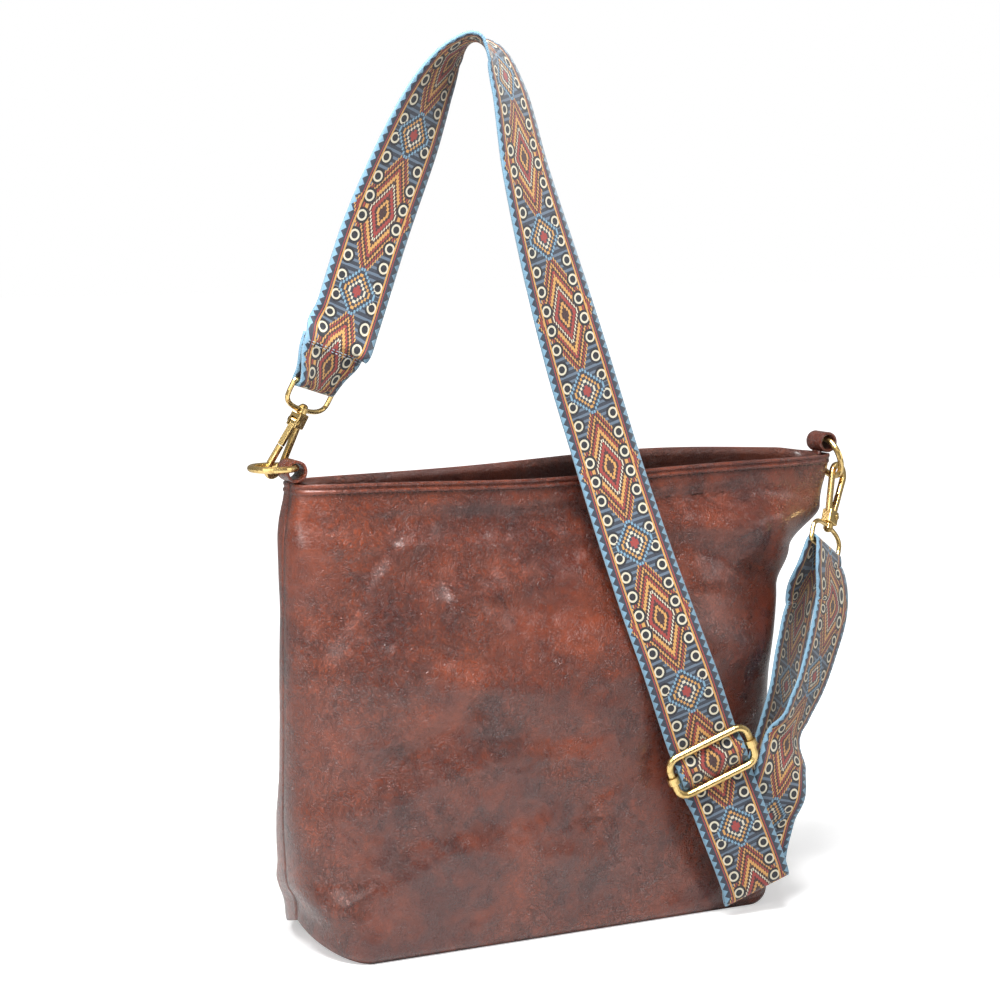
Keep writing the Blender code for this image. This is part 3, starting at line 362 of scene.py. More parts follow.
def panel_sheet(front):
    """One panel: its half of the base and its wall up to the rim, as points and faces."""
    places = places_across()
    rows = [wall_row(level, front, places, 0.0, 0.0) for level in wall_levels()]
    base = floor_rows(front)
    corner = SIDE_COLUMNS
    first = rows[0]
    for i in range(SIDE_COLUMNS + 1):
        base[i][0] = first[i]
        base[i][-1] = first[-1 - i]
    base[corner] = first[corner : corner + FRONT_COLUMNS + 1]
    points = [point for row in rows for point in row]
    faces = grid_faces(rows, 0)
    start = len(points)
    points += [point for row in base for point in row]
    faces += grid_faces(base, start)
    return points, faces


def inward_copy(points, faces, depth, front):
    """The same points, moved square to the surface towards the bag's middle, up to the seams."""
    mesh = bpy.data.meshes.new("guide")
    mesh.from_pydata(points, [], faces)
    shape = bmesh.new()
    shape.from_mesh(mesh)
    bmesh.ops.recalc_face_normals(shape, faces=shape.faces[:])
    shape.normal_update()
    middle = Vector((0.0, 0.0, HEIGHT / 2))
    outward = sum(face.normal.dot(face.calc_center_median() - middle) for face in shape.faces)
    hand = -depth if outward > 0 else depth
    moved = []
    for vert in shape.verts:
        x, y, z = vert.co + vert.normal * hand
        seam = -LEAN_FORWARD * smooth(z / HEIGHT)
        y = min(y, seam - GAP) if front else max(y, seam + GAP)
        moved.append((x, y, z))
    shape.free()
    bpy.data.meshes.remove(mesh)
    return moved


def loop_rows(levels, inset_x, inset_y):
    """Closed rings of points round the whole bag, front from left to right and then the back."""
    places = places_across()
    rows = []
    for level in levels:
        front = wall_row(level, True, places, inset_x, inset_y)
        back = wall_row(level, False, places, inset_x, inset_y)
        seam = [((a[0] + b[0]) / 2, (a[1] + b[1]) / 2, (a[2] + b[2]) / 2)
                for a, b in ((front[0], back[0]), (front[-1], back[-1]))]
        rows.append([seam[0]] + front[1:-1] + [seam[1]] + list(reversed(back[1:-1])))
    return rows


def ring_faces(rows):
    count = len(rows[0])
    faces = []
    for i in range(len(rows) - 1):
        for j in range(count):
            k = (j + 1) % count
            faces.append((i * count + j, i * count + k, (i + 1) * count + k, (i + 1) * count + j))
    return faces


def wall_levels():
    """Levels of the wall's rows: close together at the base's edge and in the hem."""
    parts = (
        np.linspace(0, 0.02, 6),
        np.linspace(0.026, 0.93, 130),
        np.linspace(0.934, 0.972, 12),
        np.linspace(0.9735, 1.0, 30),
    )
    return tuple(float(v) for v in np.concatenate(parts))


def fold_depth(x, z):
    total = 0.0
    for middle_x, middle_z, turn, length, width, depth in FRONT_FOLDS:
        angle = math.radians(turn)
        dx = x - middle_x
        dz = z - middle_z
        run = dx * math.cos(angle) + dz * math.sin(angle)
        off = dz * math.cos(angle) - dx * math.sin(angle)
        total += depth * math.exp(-((run / length) ** 2) - (off / width) ** 2)
    return total


def wrinkles(place, strength):
    """Soft creases of worn leather: swirled ridges over broad hollows."""
    swirl = noise.noise_vector(place * 22) * 0.010
    broad = noise.fractal((place + swirl) * 24, 0.9, 2.1, 3) * 0.0017
    ridge = 1 - abs(noise.noise((place + swirl * 1.6) * 70)) * 2
    fine = 1 - abs(noise.noise((place - swirl) * 150)) * 2
    return (broad + ridge * abs(ridge) * 0.00070 + fine * 0.00022) * strength


def hem_profile(below, front):
    """Height of the sewn hem over the leather: two ridges with the stitched groove between."""
    rolled = 0.0007 * bump(below, 0.0012, 0.0012)
    groove = -0.0007 * bump(below, 0.0029, 0.0007)
    lower = 0.0007 * bump(below, 0.0045, 0.0012)
    under = -0.0010 * smooth((below - 0.0055) / 0.0008) * math.exp(-max(0.0, below - 0.0063) / 0.012)
    return rolled + groove + lower + (under if front else 0.5 * under)


def leather_height(place, front, strength):
    """How far the worn surface stands off the plain one at a place."""
    x, y, z = place
    lean = -LEAN_FORWARD * smooth(z / HEIGHT)
    free = smooth(abs(y - lean) / FOLD_FREE)
    below = HEIGHT + rim_wave(x, front) - z
    height = hem_profile(below, front) * free
    body = smooth((below - 0.008) / 0.012) * smooth((z - 0.004) / 0.014) * free
    edge = min(x - seam_left(z / HEIGHT), seam_right(z / HEIGHT) - x)
    creasing = wrinkles(Vector(place), strength) * (0.15 + 0.85 * smooth(edge / 0.045))
    if front:
        creasing += fold_depth(x, z)
        if x > 0.02:
            under_strap = smooth((x - 0.02) / 0.02) * smooth((0.27 - z) / 0.02)
            open_part = smooth((x - 0.085) / 0.01) * smooth((0.150 - x) / 0.01) * smooth((z - 0.200) / 0.01)
            under_strap *= 1 - open_part
            creasing = creasing * (1 - under_strap) + min(creasing, 0.0) * 0.8 * under_strap
            creasing -= 0.0006 * under_strap
    return height + creasing * body


def worn_copy(points, faces, front, strength):
    """The same points, each moved square to the surface by the leather's height there."""
    mesh = bpy.data.meshes.new("guide")
    mesh.from_pydata(points, [], faces)
    shape = bmesh.new()
    shape.from_mesh(mesh)
    bmesh.ops.recalc_face_normals(shape, faces=shape.faces[:])
    shape.normal_update()
    middle = Vector((0.0, 0.0, HEIGHT / 2))
    outward = sum(face.normal.dot(face.calc_center_median() - middle) for face in shape.faces)
    hand = 1 if outward > 0 else -1
    moved = []
    for vert in shape.verts:
        moved.append(tuple(vert.co + vert.normal * hand * leather_height(vert.co, front, strength)))
    shape.free()
    bpy.data.meshes.remove(mesh)
    return moved


def closed_mesh(name, outer, faces, inner):
    """A closed wall between two sheets that have the same vertices in the same order."""
    shift = len(outer)
    edges = {}
    for face in faces:
        for a, b in zip(face, face[1:] + face[:1]):
            edges[(a, b)] = True
    quads = [tuple(reversed([index + shift for index in face])) for face in faces]
    for a, b in edges:
        if (b, a) not in edges:
            quads.append((b, a, a + shift, b + shift))
    mesh = bpy.data.meshes.new(name)
    mesh.from_pydata(list(outer) + list(inner), [], faces + quads)
    shape = bmesh.new()
    shape.from_mesh(mesh)
    bmesh.ops.recalc_face_normals(shape, faces=shape.faces[:])
    if shape.calc_volume(signed=True) < 0:
        bmesh.ops.reverse_faces(shape, faces=shape.faces[:])
    shape.to_mesh(mesh)
    shape.free()
    return mesh


# Strap route


def curve_through(stations, step):
    """A smooth line through the stations: place, width direction, width and share of skew."""
    knots = [np.concatenate([place, width, [size, skew]]) for place, width, size, skew in stations]
    knots = [2 * knots[0] - knots[1]] + knots + [2 * knots[-1] - knots[-2]]
    line = [knots[1]]
    for before, start, end, after in zip(knots, knots[1:], knots[2:], knots[3:]):
        gap = np.linalg.norm(end[:3] - start[:3])
        count = max(1, math.ceil(gap / step))
        times = [0.0]
        for a, b in ((before, start), (start, end), (end, after)):
            times.append(times[-1] + max(np.linalg.norm(b[:3] - a[:3]), 1e-6) ** 0.5)
        t0, t1, t2, t3 = times
        for k in range(1, count + 1):
            t = t1 + (t2 - t1) * k / count
            a1 = (t1 - t) / (t1 - t0) * before + (t - t0) / (t1 - t0) * start
            a2 = (t2 - t) / (t2 - t1) * start + (t - t1) / (t2 - t1) * end
            a3 = (t3 - t) / (t3 - t2) * end + (t - t2) / (t3 - t2) * after
            b1 = (t2 - t) / (t2 - t0) * a1 + (t - t0) / (t2 - t0) * a2
            b2 = (t3 - t) / (t3 - t1) * a2 + (t - t1) / (t3 - t1) * a3
            line.append((t2 - t) / (t2 - t1) * b1 + (t - t1) / (t2 - t1) * b2)
    return line


def heading(azimuth, rise=0.0):
    """A direction, in degrees clockwise from +Y as seen from above and up from level."""
    level = math.cos(math.radians(rise))
    turn = math.radians(azimuth)
    return np.array([math.sin(turn) * level, math.cos(turn) * level, math.sin(math.radians(rise))])


def wrap(middle, hook_side, first_side, width, size, radius, steps=7):
    """Stations round a bar, from one side of it past the side that faces the hook."""
    stations = []
    for k in range(steps + 1):
        turn = math.pi * k / steps
        place = middle + radius * (math.cos(turn) * first_side + math.sin(turn) * hook_side)
        stations.append((place, width, size, 0.0))
    return stations


def unit(vector):
    vector = np.array(vector, float)
    return vector / np.linalg.norm(vector)


# Share of the sewn length, heading, width and extra room between the two layers
SEWN_PART = (
    (0.22, 64, 0.0390, 0.0012),
    (0.42, 68, 0.0420, 0.0009),
    (0.62, 73, 0.0445, 0.0006),
    (0.82, 77, 0.0450, 0.0004),
    (1.0, 80, 0.0450, 0.0004),
)
RISE = (
    (-0.1290, -0.0155, 0.3720, 81),
    (-0.1099, -0.0140, 0.4232, 82),
    (-0.0911, -0.0180, 0.4702, 74),
    (-0.0750, -0.0220, 0.5074, 58),
    (-0.0620, -0.0245, 0.5265, 44),
    (-0.0518, -0.0265, 0.5330, 38),
    (-0.0415, -0.0290, 0.5270, 44),
    (-0.0322, -0.0310, 0.5062, 52),
    (-0.0207, -0.0330, 0.4555, 64),
    (0.0080, -0.0365, 0.3576, 84),
    (0.0268, -0.0400, 0.2970, 88),
    (0.0384, -0.0500, 0.2500, 92),
    (0.0505, -0.0610, 0.2040, 96),
    (0.0660, -0.0700, 0.1550, 99),
)
SLIDER_MIDDLE = np.array([0.0858, -0.0740, 0.1020])
SLIDER_RUN = unit((0.386, -0.020, -0.922))
SLIDER_HEADING = 100

# Where the inner and outer runs meet the right loop, and how far apart they come to it
LOOP_APPROACH = 0.012
LOOP_SPREAD_FRONT = 0.0025
LOOP_SPREAD_BACK = 0.0028
LOOP_EASE = 0.0006

# Places of the lower runs: x, y, z, heading, rise and share of skew
LOWER = (
    (0.1035, -0.0735, 0.0590, 100, 22, 0),
    (0.1140, -0.0735, 0.0350, 100, 22, 1),
    (0.1192, -0.0729, 0.0225, 100, 22, 1),
    (0.1212, -0.0716, 0.0172, 100, 22, 1),
    (0.1219, -0.0696, 0.0156, 100, 22, 1),
    (0.1221, -0.0676, 0.0170, 100, 22, 1),
    (0.1222, -0.0664, 0.0215, 100, 21, 1),
    (0.1230, -0.0660, 0.0300, 99, 18, 1),
    (0.1255, -0.0660, 0.0410, 96, 13, 1),
    (0.1290, -0.0668, 0.0540, 89, 8, 0.7),
    (0.1320, -0.0698, 0.0650, 88, 5, 0.4),
    (0.1352, -0.0712, 0.0760, 86, 3, 0),
    (0.1405, -0.0692, 0.0935, 72, 0, 0),
    (0.1488, -0.0620, 0.1095, 58, 0, 0),
    (0.1578, -0.0600, 0.1236, 57, 0, 0),
    (0.1703, -0.0560, 0.1415, 58, 0, 0),
    (0.1831, -0.0500, 0.1650, 59, 0, 0),
    (0.1935, -0.0430, 0.1886, 60, 0, 0),
)
INNER = (
    (0.1850, -0.0215, 0.1850, 58, 0, 0),
    (0.1740, -0.0270, 0.1580, 56, 0, 0),
    (0.1620, -0.0370, 0.1300, 56, 0, 0),
    (0.1500, -0.0460, 0.1030, 64, 0, 0),
    (0.1410, -0.0515, 0.0820, 76, 0, 0.4),
    (0.1310, -0.0555, 0.0640, 86, 0, 0.8),
    (0.1255, -0.0570, 0.0540, 90, 0, 1),
    (0.1235, -0.0580, 0.0495, 90, 0, 1),
    (0.1225, -0.0600, 0.0476, 90, 2, 1),
    (0.1215, -0.0620, 0.0495, 90, 4, 1),
    (0.1190, -0.0630, 0.0550, 91, 8, 1),
    (0.1130, -0.0634, 0.0630, 92, 14, 0.8),
    (0.1060, -0.0654, 0.0700, 96, 18, 0.4),
)


def slider_frame_axes():
    width = heading(SLIDER_HEADING)
    width = unit(width - SLIDER_RUN * np.dot(width, SLIDER_RUN))
    face = np.cross(SLIDER_RUN, width)
    return width, face


def bar_offset():
    """How far the slider's bar lies behind the plane of its frame."""
    return 0.0012 - STRAP_THICK / 2 - GAP - STRAP_THICK - GAP - SLIDER_BAR_RADIUS


def layer_side(azimuth, pull):
    """The direction, towards the front, in which the layers of the sewn end lie apart."""
    side = unit(np.cross(heading(azimuth), pull))
    return side if side[1] < 0 else -side


def strap_stations():
    frames = END_FRAMES
    gathered = LOOP_WIDTH - 2 * LOOP_WIRE - 4 * GAP
    radius = LOOP_WIRE + 2 * GAP + STRAP_THICK / 2
    layer = STRAP_THICK / 2 + 2 * GAP
    stations = []
    left = frames["left"]
    bar = np.array(left["bar"])
    pull = np.array(left["pull"])
    width = np.array(left["width"])
    front = unit(np.cross(width, pull))
    front = front if front[1] < 0 else -front
    for share, azimuth, size, room in reversed(SEWN_PART):
        off = layer_side(azimuth, pull) * (layer + room)
        stations.append((bar + pull * share * SEWN_TAIL - off, heading(azimuth), size, 0.0))
    stations += wrap(bar, -pull, -front, width, gathered, radius)
    for share, azimuth, size, room in SEWN_PART:
        off = layer_side(azimuth, pull) * (layer + room)
        stations.append((bar + pull * share * SEWN_TAIL + off, heading(azimuth), size, 0.0))
    for x, y, z, azimuth in RISE:
        stations.append((np.array([x, y, z]), heading(azimuth), STRAP_WIDTH, 0.0))
    stations += slider_stations()
    for x, y, z, azimuth, rise, skew in LOWER:
        stations.append((np.array([x, y, z]), heading(azimuth, rise), STRAP_WIDTH, skew))
    right = frames["right"]
    bar = np.array(right["bar"])
    pull = np.array(right["pull"])
    width = np.array(right["width"])
    front = unit(np.cross(width, pull))
    front = front if front[1] < 0 else -front
    approach = bar + pull * LOOP_APPROACH
    stations.append((approach + front * (radius + LOOP_SPREAD_FRONT), width, gathered, 0.0))
    stations += wrap(bar, -pull, front, width, gathered, radius + LOOP_EASE, 5)
    stations.append((approach - front * (radius + LOOP_SPREAD_BACK), width, gathered, 0.0))
    for x, y, z, azimuth, rise, skew in INNER:
        stations.append((np.array([x, y, z]), heading(azimuth, rise), STRAP_WIDTH, skew))
    stations += inner_end_stations()
    return stations


def slider_stations():
    """The strap's way behind the frame's two long sides and in front of the bar."""
    width, face = slider_frame_axes()
    behind = -(SLIDER_WIRE + GAP + STRAP_THICK / 2)
    ahead = bar_offset() + SLIDER_BAR_RADIUS + GAP + STRAP_THICK + GAP + STRAP_THICK / 2
    reach = SLIDER_HEIGHT / 2
    half = ((1.45, behind), (1.0, behind - 0.0001), (0.72, behind + 0.0011), (0.35, ahead - 0.0007))
    route = [(-share, off) for share, off in half] + [(0.0, ahead)] + list(reversed(half))
    stations = []
    for share, off in route:
        place = SLIDER_MIDDLE + SLIDER_RUN * share * reach + face * off
        stations.append((place, width, STRAP_WIDTH, 0.0))
    return stations


def inner_end_stations():
    """The inner run's sewn end: up behind the outer run, over the slider's bar and back down."""
    width, face = slider_frame_axes()
    bar = SLIDER_MIDDLE + face * bar_offset()
    radius = SLIDER_BAR_RADIUS + GAP + STRAP_THICK / 2
    reach = SLIDER_HEIGHT / 2
    behind = -(SLIDER_WIRE + GAP + STRAP_THICK / 2)
    under = behind - STRAP_THICK - GAP
    stations = []
    for run, off in ((reach + 0.010, under - 0.0010), (reach + 0.003, under - 0.0004),
                     (0.70 * reach, under + 0.0006), (0.30 * reach, -0.0015)):
        stations.append((SLIDER_MIDDLE + SLIDER_RUN * run + face * off, width, STRAP_WIDTH, 0.0))
    stations += wrap(bar, -SLIDER_RUN, face, width, STRAP_WIDTH, radius)
    for run in (0.45 * reach, reach, reach + 0.010):
        off = under - STRAP_THICK - 2 * GAP - 0.001
        stations.append((SLIDER_MIDDLE + SLIDER_RUN * run + face * off, width, STRAP_WIDTH, 0.0))
    return stations


def strap_mesh(columns, step):
    """The webbing's middle surface with a map that runs along and across it, in metres."""
    line = curve_through(strap_stations(), step)
    places = [dot[:3] for dot in line]
    lengths = [0.0]
    for before, after in zip(places, places[1:]):
        lengths.append(lengths[-1] + float(np.linalg.norm(after - before)))
    points = []
    for k, dot in enumerate(line):
        run = unit(places[min(k + 1, len(line) - 1)] - places[max(k - 1, 0)])
        width = unit(dot[3:6] - run * np.dot(dot[3:6], run) * (1 - dot[7]))
        for j in range(columns + 1):
            share = j / columns - 0.5
            points.append(tuple(float(v) for v in places[k] + width * dot[6] * share))
    rows = [points[k : k + columns + 1] for k in range(0, len(points), columns + 1)]
    mesh = bpy.data.meshes.new("printed_strap")
    mesh.from_pydata(points, [], grid_faces(rows, 0))
    layer = mesh.uv_layers.new(name="webbing")
    for loop in mesh.loops:
        row, column = divmod(loop.vertex_index, columns + 1)
        layer.data[loop.index].uv = (lengths[row], (column / columns - 0.5) * STRAP_WIDTH)
    return mesh


# Shader groups


def new_group(name, inputs, outputs):
    group = bpy.data.node_groups.new(name, "ShaderNodeTree")
    for kind, label, value in inputs:
        socket = group.interface.new_socket(name=label, in_out="INPUT", socket_type=kind)
        if value is not None:
            socket.default_value = value
    for kind, label in outputs:
        group.interface.new_socket(name=label, in_out="OUTPUT", socket_type=kind)
    return group, group.nodes.new("NodeGroupInput"), group.nodes.new("NodeGroupOutput")


class Wires:
    """Short hands for making and joining nodes in one tree."""

    def __init__(self, tree):
        self.tree = tree

    def node(self, kind, **values):
        made = self.tree.nodes.new(kind)
        for key, value in values.items():
            setattr(made, key, value)
        return made

    def join(self, source, target):
        self.tree.links.new(source, target)

    def put(self, socket, value):
        if isinstance(value, bpy.types.NodeSocket):
            self.join(value, socket)
        elif value is not None:
            socket.default_value = value

    def math(self, kind, a, b=None, c=None):
        made = self.node("ShaderNodeMath", operation=kind)
        for socket, value in zip(made.inputs, (a, b, c)):
            self.put(socket, value)
        return made.outputs[0]

    def mix(self, share, a, b, kind="MIX"):
        made = self.node("ShaderNodeMix", data_type="RGBA", blend_type=kind)
        self.put(made.inputs[0], share)
        self.put(made.inputs[6], a)
        self.put(made.inputs[7], b)
        return made.outputs[2]

    def noise(self, place, scale, detail=3.0, warp=0.0, rough=0.5):
        made = self.node("ShaderNodeTexNoise")
        self.put(made.inputs["Vector"], place)
        self.put(made.inputs["Scale"], scale)
        made.inputs["Detail"].default_value = detail
        made.inputs["Roughness"].default_value = rough
        made.inputs["Distortion"].default_value = warp
        return made.outputs["Fac"]

    def cells(self, place, scale, feature="F1"):
        made = self.node("ShaderNodeTexVoronoi", feature=feature)
        self.put(made.inputs["Vector"], place)
        self.put(made.inputs["Scale"], scale)
        return made.outputs["Distance"]

    def span(self, value, low, high, start=0.0, end=1.0):
        made = self.node("ShaderNodeMapRange")
        for socket, item in zip(made.inputs, (value, low, high, start, end)):
            self.put(socket, item)
        return made.outputs[0]


def leather_group():
    """Grain, swirled creases and uneven tone of glossy worn leather, with painted shade in the grain's grooves
    and the creases.
    """
    group, given, shown = new_group(
        "worn_leather",
        (
            ("NodeSocketVector", "Place", None),
            ("NodeSocketColor", "Deep", (0.05, 0.012, 0.008, 1)),
            ("NodeSocketColor", "Warm", (0.2, 0.06, 0.03, 1)),
            ("NodeSocketFloat", "Grain Scale", 430.0),
            ("NodeSocketFloat", "Gloss", 0.35),
        ),
        (("NodeSocketColor", "Colour"), ("NodeSocketFloat", "Height"), ("NodeSocketFloat", "Roughness")),
    )
    w = Wires(group)
    place = given.outputs["Place"]
    patches = w.noise(place, 11.0, 4.0, 1.0, 0.6)
    mottled = w.noise(place, 60.0, 5.0, 0.8, 0.65)
    tone = w.math("ADD", w.math("MULTIPLY", patches, 0.62), w.math("MULTIPLY", mottled, 0.38))
    colour = w.mix(w.span(tone, 0.40, 0.62), given.outputs["Deep"], given.outputs["Warm"])
    swirl = w.node("ShaderNodeTexNoise")
    w.join(place, swirl.inputs["Vector"])
    swirl.inputs["Scale"].default_value = 38.0
    drift = w.node("ShaderNodeVectorMath", operation="SCALE")
    w.join(swirl.outputs["Color"], drift.inputs[0])
    drift.inputs["Scale"].default_value = 0.012
    flow = w.node("ShaderNodeVectorMath", operation="ADD")
    w.join(place, flow.inputs[0])
    w.join(drift.outputs[0], flow.inputs[1])
    grain_noise = w.noise(flow.outputs[0], given.outputs["Grain Scale"], 2.0, 0.9, 0.5)
    grain = w.span(w.math("ABSOLUTE", w.math("SUBTRACT", grain_noise, 0.5)), 0.0, 0.085)
    crease_noise = w.noise(flow.outputs[0], w.math("MULTIPLY", given.outputs["Grain Scale"], 0.36), 3.0, 1.4, 0.6)
    crease = w.span(w.math("ABSOLUTE", w.math("SUBTRACT", crease_noise, 0.5)), 0.0, 0.055)
    pebble = w.cells(flow.outputs[0], w.math("MULTIPLY", given.outputs["Grain Scale"], 2.2))
    # Strength of the relief, which also sets how strong the painted shade in the grooves and creases is.
    creasing = w.span(w.noise(place, 14.0, 3.0, 0.8), 0.40, 0.58, 0.35, 1.0)
    height = w.math("ADD", w.math("MULTIPLY", grain, 0.55), w.math("MULTIPLY", crease, 0.75))
    height = w.math("MULTIPLY", height, creasing)
    height = w.math("ADD", height, w.math("MULTIPLY", w.span(pebble, 0.0, 0.7, 1.0, 0.0), 0.16))
    # Painted shade: the colour is darkened in the grain's grooves and in the creases.
    groove = w.math("MULTIPLY", w.span(grain, 0.0, 1.0, 0.42, 0.0), creasing)
    shade = w.mix(groove, colour, (0.022, 0.005, 0.004, 1))
    shade = w.mix(w.math("MULTIPLY", w.span(crease, 0.0, 1.0, 0.40, 0.0), creasing), shade, (0.018, 0.004, 0.003, 1))
    w.join(shade, shown.inputs["Colour"])
    w.join(height, shown.inputs["Height"])
    rough = w.math("ADD", given.outputs["Gloss"], w.span(mottled, 0.3, 0.7, -0.06, 0.06))
    w.join(w.math("ADD", rough, w.math("MULTIPLY", groove, 0.15)), shown.inputs["Roughness"])
    return group


def brass_group():
    """Fine brushing and faint tarnish of cast brass fittings."""
    group, given, shown = new_group(
        "brushed_brass",
        (
            ("NodeSocketVector", "Place", None),
            ("NodeSocketColor", "Bright", (0.8, 0.6, 0.3, 1)),
            ("NodeSocketColor", "Dull", (0.4, 0.28, 0.1, 1)),
        ),
        (("NodeSocketColor", "Colour"), ("NodeSocketFloat", "Height"), ("NodeSocketFloat", "Roughness")),
    )
    w = Wires(group)
    place = given.outputs["Place"]
    stretched = w.node("ShaderNodeMapping")
    w.join(place, stretched.inputs["Vector"])
    stretched.inputs["Scale"].default_value = (1, 1, 0.12)
    brush = w.noise(stretched.outputs[0], 3200.0, 2.0)
    cloud = w.noise(place, 160.0, 3.0, 0.6)
    dull = w.span(cloud, 0.52, 0.70)
    w.join(w.mix(dull, given.outputs["Bright"], given.outputs["Dull"]), shown.inputs["Colour"])
    w.join(brush, shown.inputs["Height"])
    rough = w.math("ADD", w.span(brush, 0.3, 0.7, 0.20, 0.32), w.math("MULTIPLY", dull, 0.12))
    w.join(rough, shown.inputs["Roughness"])
    return group


def print_group():
    """A woven folk band: stepped diamonds, zigzags, dots and striped borders on dark blue."""
    group, given, shown = new_group(
        "folk_band",
        (
            ("NodeSocketVector", "Band", None),
            ("NodeSocketFloat", "Repeat", 0.096),
            ("NodeSocketFloat", "Half Width", 0.0225),
            ("NodeSocketColor", "Ground", (0.02, 0.025, 0.035, 1)),
            ("NodeSocketColor", "Gold", (0.55, 0.29, 0.08, 1)),
            ("NodeSocketColor", "Red", (0.3, 0.04, 0.03, 1)),
            ("NodeSocketColor", "Cream", (0.60, 0.55, 0.42, 1)),
            ("NodeSocketColor", "Sky", (0.17, 0.31, 0.42, 1)),
        ),
        (("NodeSocketColor", "Colour"), ("NodeSocketFloat", "Height")),
    )
    w = Wires(group)
    split = w.node("ShaderNodeSeparateXYZ")
    w.join(given.outputs["Band"], split.inputs[0])
    run = w.math("DIVIDE", split.outputs[0], given.outputs["Repeat"])
    off = w.math("DIVIDE", split.outputs[1], given.outputs["Half Width"])
    side = w.math("ABSOLUTE", off)

    def wave(times, shift=0.0):
        turned = w.math("FRACT", w.math("ADD", w.math("MULTIPLY", run, times), shift))
        return w.math("ABSOLUTE", w.math("SUBTRACT", w.math("MULTIPLY", turned, 2.0), 1.0))

    def between(value, low, high):
        over = w.math("GREATER_THAN", value, low)
        return w.math("MULTIPLY", over, w.math("LESS_THAN", value, high))

    def step(value, size):
        return w.math("SNAP", value, size)

    gold, red = given.outputs["Gold"], given.outputs["Red"]
    cream, sky = given.outputs["Cream"], given.outputs["Sky"]
    colour = given.outputs["Ground"]
    large = w.math("ADD", step(wave(1.0), 0.04), w.math("MULTIPLY", side, 0.86))
    small = w.math("ADD", step(w.math("MULTIPLY", wave(1.0, 0.5), 1.9), 0.07), side)
    comb = w.math("LESS_THAN", wave(26.0), 0.42)
    colour = w.mix(w.math("MULTIPLY", comb, w.math("LESS_THAN", side, 0.70)), colour, (0.11, 0.15, 0.20, 1))
    for mask_value, low, high, tint in (
        (large, 0.0, 0.80, (0.05, 0.02, 0.015, 1)),
        (large, 0.77, 0.80, gold),
        (large, 0.71, 0.74, red),
        (large, 0.62, 0.66, gold),
        (large, 0.52, 0.56, red),
        (large, 0.42, 0.50, gold),
        (large, 0.33, 0.36, cream),
        (large, 0.22, 0.30, red),
        (large, 0.10, 0.16, gold),
        (small, 0.0, 0.58, given.outputs["Ground"]),
        (small, 0.50, 0.56, sky),
        (small, 0.34, 0.40, gold),
        (small, 0.20, 0.26, cream),
        (small, 0.0, 0.12, red),
    ):
        colour = w.mix(between(mask_value, low, high), colour, tint)
    dots_run = w.math("SUBTRACT", w.math("FRACT", w.math("MULTIPLY", run, 8.0)), 0.5)
    dots_off = w.math("MULTIPLY", w.math("SUBTRACT", side, 0.57), 1.9)
    dots = w.math("SQRT", w.math("ADD", w.math("POWER", dots_run, 2.0), w.math("POWER", dots_off, 2.0)))
    free = w.math("GREATER_THAN", small, 0.62)
    colour = w.mix(w.math("MULTIPLY", w.math("LESS_THAN", dots, 0.40), free), colour, (0.012, 0.012, 0.014, 1))
    colour = w.mix(w.math("MULTIPLY", between(dots, 0.18, 0.28), free), colour, cream)
    colour = w.mix(between(side, 0.70, 0.75), colour, gold)
    colour = w.mix(between(side, 0.78, 0.81), colour, red)
    teeth = w.math("LESS_THAN", w.math("ADD", side, w.math("MULTIPLY", wave(18.0), 0.13)), 0.995)
    rim = w.math("MULTIPLY", w.math("GREATER_THAN", side, 0.83), w.math("SUBTRACT", 1.0, teeth))
    colour = w.mix(rim, colour, sky)
    colour = w.mix(w.math("MULTIPLY", between(side, 0.985, 1.2), 0.35), colour, sky)
    ribs = w.math("SINE", w.math("MULTIPLY", split.outputs[0], 2 * math.pi / 0.0011))
    cords = w.math("SINE", w.math("MULTIPLY", split.outputs[1], 2 * math.pi / 0.0013))
    weave = w.math("MULTIPLY", ribs, cords)
    fluff = w.noise(given.outputs["Band"], 900.0, 2.0)
    faded = w.span(w.math("ADD", w.math("MULTIPLY", weave, 0.16), fluff), 0.30, 0.85, 0.0, 0.34)
    colour = w.mix(faded, colour, (0.10, 0.11, 0.14, 1))
    w.join(colour, shown.inputs["Colour"])
    w.join(w.math("ADD", w.math("MULTIPLY", weave, 0.5), w.math("MULTIPLY", fluff, 0.5)), shown.inputs["Height"])
    return group


def shader(name):
    material = bpy.data.materials.new(name)
    material.use_nodes = True
    return material, Wires(material.node_tree), material.node_tree.nodes["Principled BSDF"]


def place_group(w, group, coords, **values):
    made = w.node("ShaderNodeGroup", node_tree=group)
    source = w.node("ShaderNodeTexCoord")
    w.join(source.outputs[coords], made.inputs[0])
    for key, value in values.items():
        made.inputs[key.replace("_", " ")].default_value = value
    return made


def finish_shader(w, made, base, distance, strength):
    w.join(made.outputs["Colour"], base.inputs["Base Color"])
    relief = w.node("ShaderNodeBump")
    relief.inputs["Distance"].default_value = distance
    relief.inputs["Strength"].default_value = strength
    w.join(made.outputs["Height"], relief.inputs["Height"])
    w.join(relief.outputs[0], base.inputs["Normal"])


def make_leather(name, group, deep, warm, gloss, grain=430.0):
    material, w, base = shader(name)
    made = place_group(w, group, "Object", Deep=deep, Warm=warm, Gloss=gloss, Grain_Scale=grain)
    finish_shader(w, made, base, 0.00060, 0.95)
    w.join(made.outputs["Roughness"], base.inputs["Roughness"])
    base.inputs["Specular IOR Level"].default_value = 0.45
    base.inputs["Coat Weight"].default_value = 0.55
    base.inputs["Coat Roughness"].default_value = 0.27
    return material


def make_brass(name, group, bright, dull):
    material, w, base = shader(name)
    made = place_group(w, group, "Object", Bright=bright, Dull=dull)
    finish_shader(w, made, base, 0.00003, 0.25)
    w.join(made.outputs["Roughness"], base.inputs["Roughness"])
    base.inputs["Metallic"].default_value = 1.0
    return material


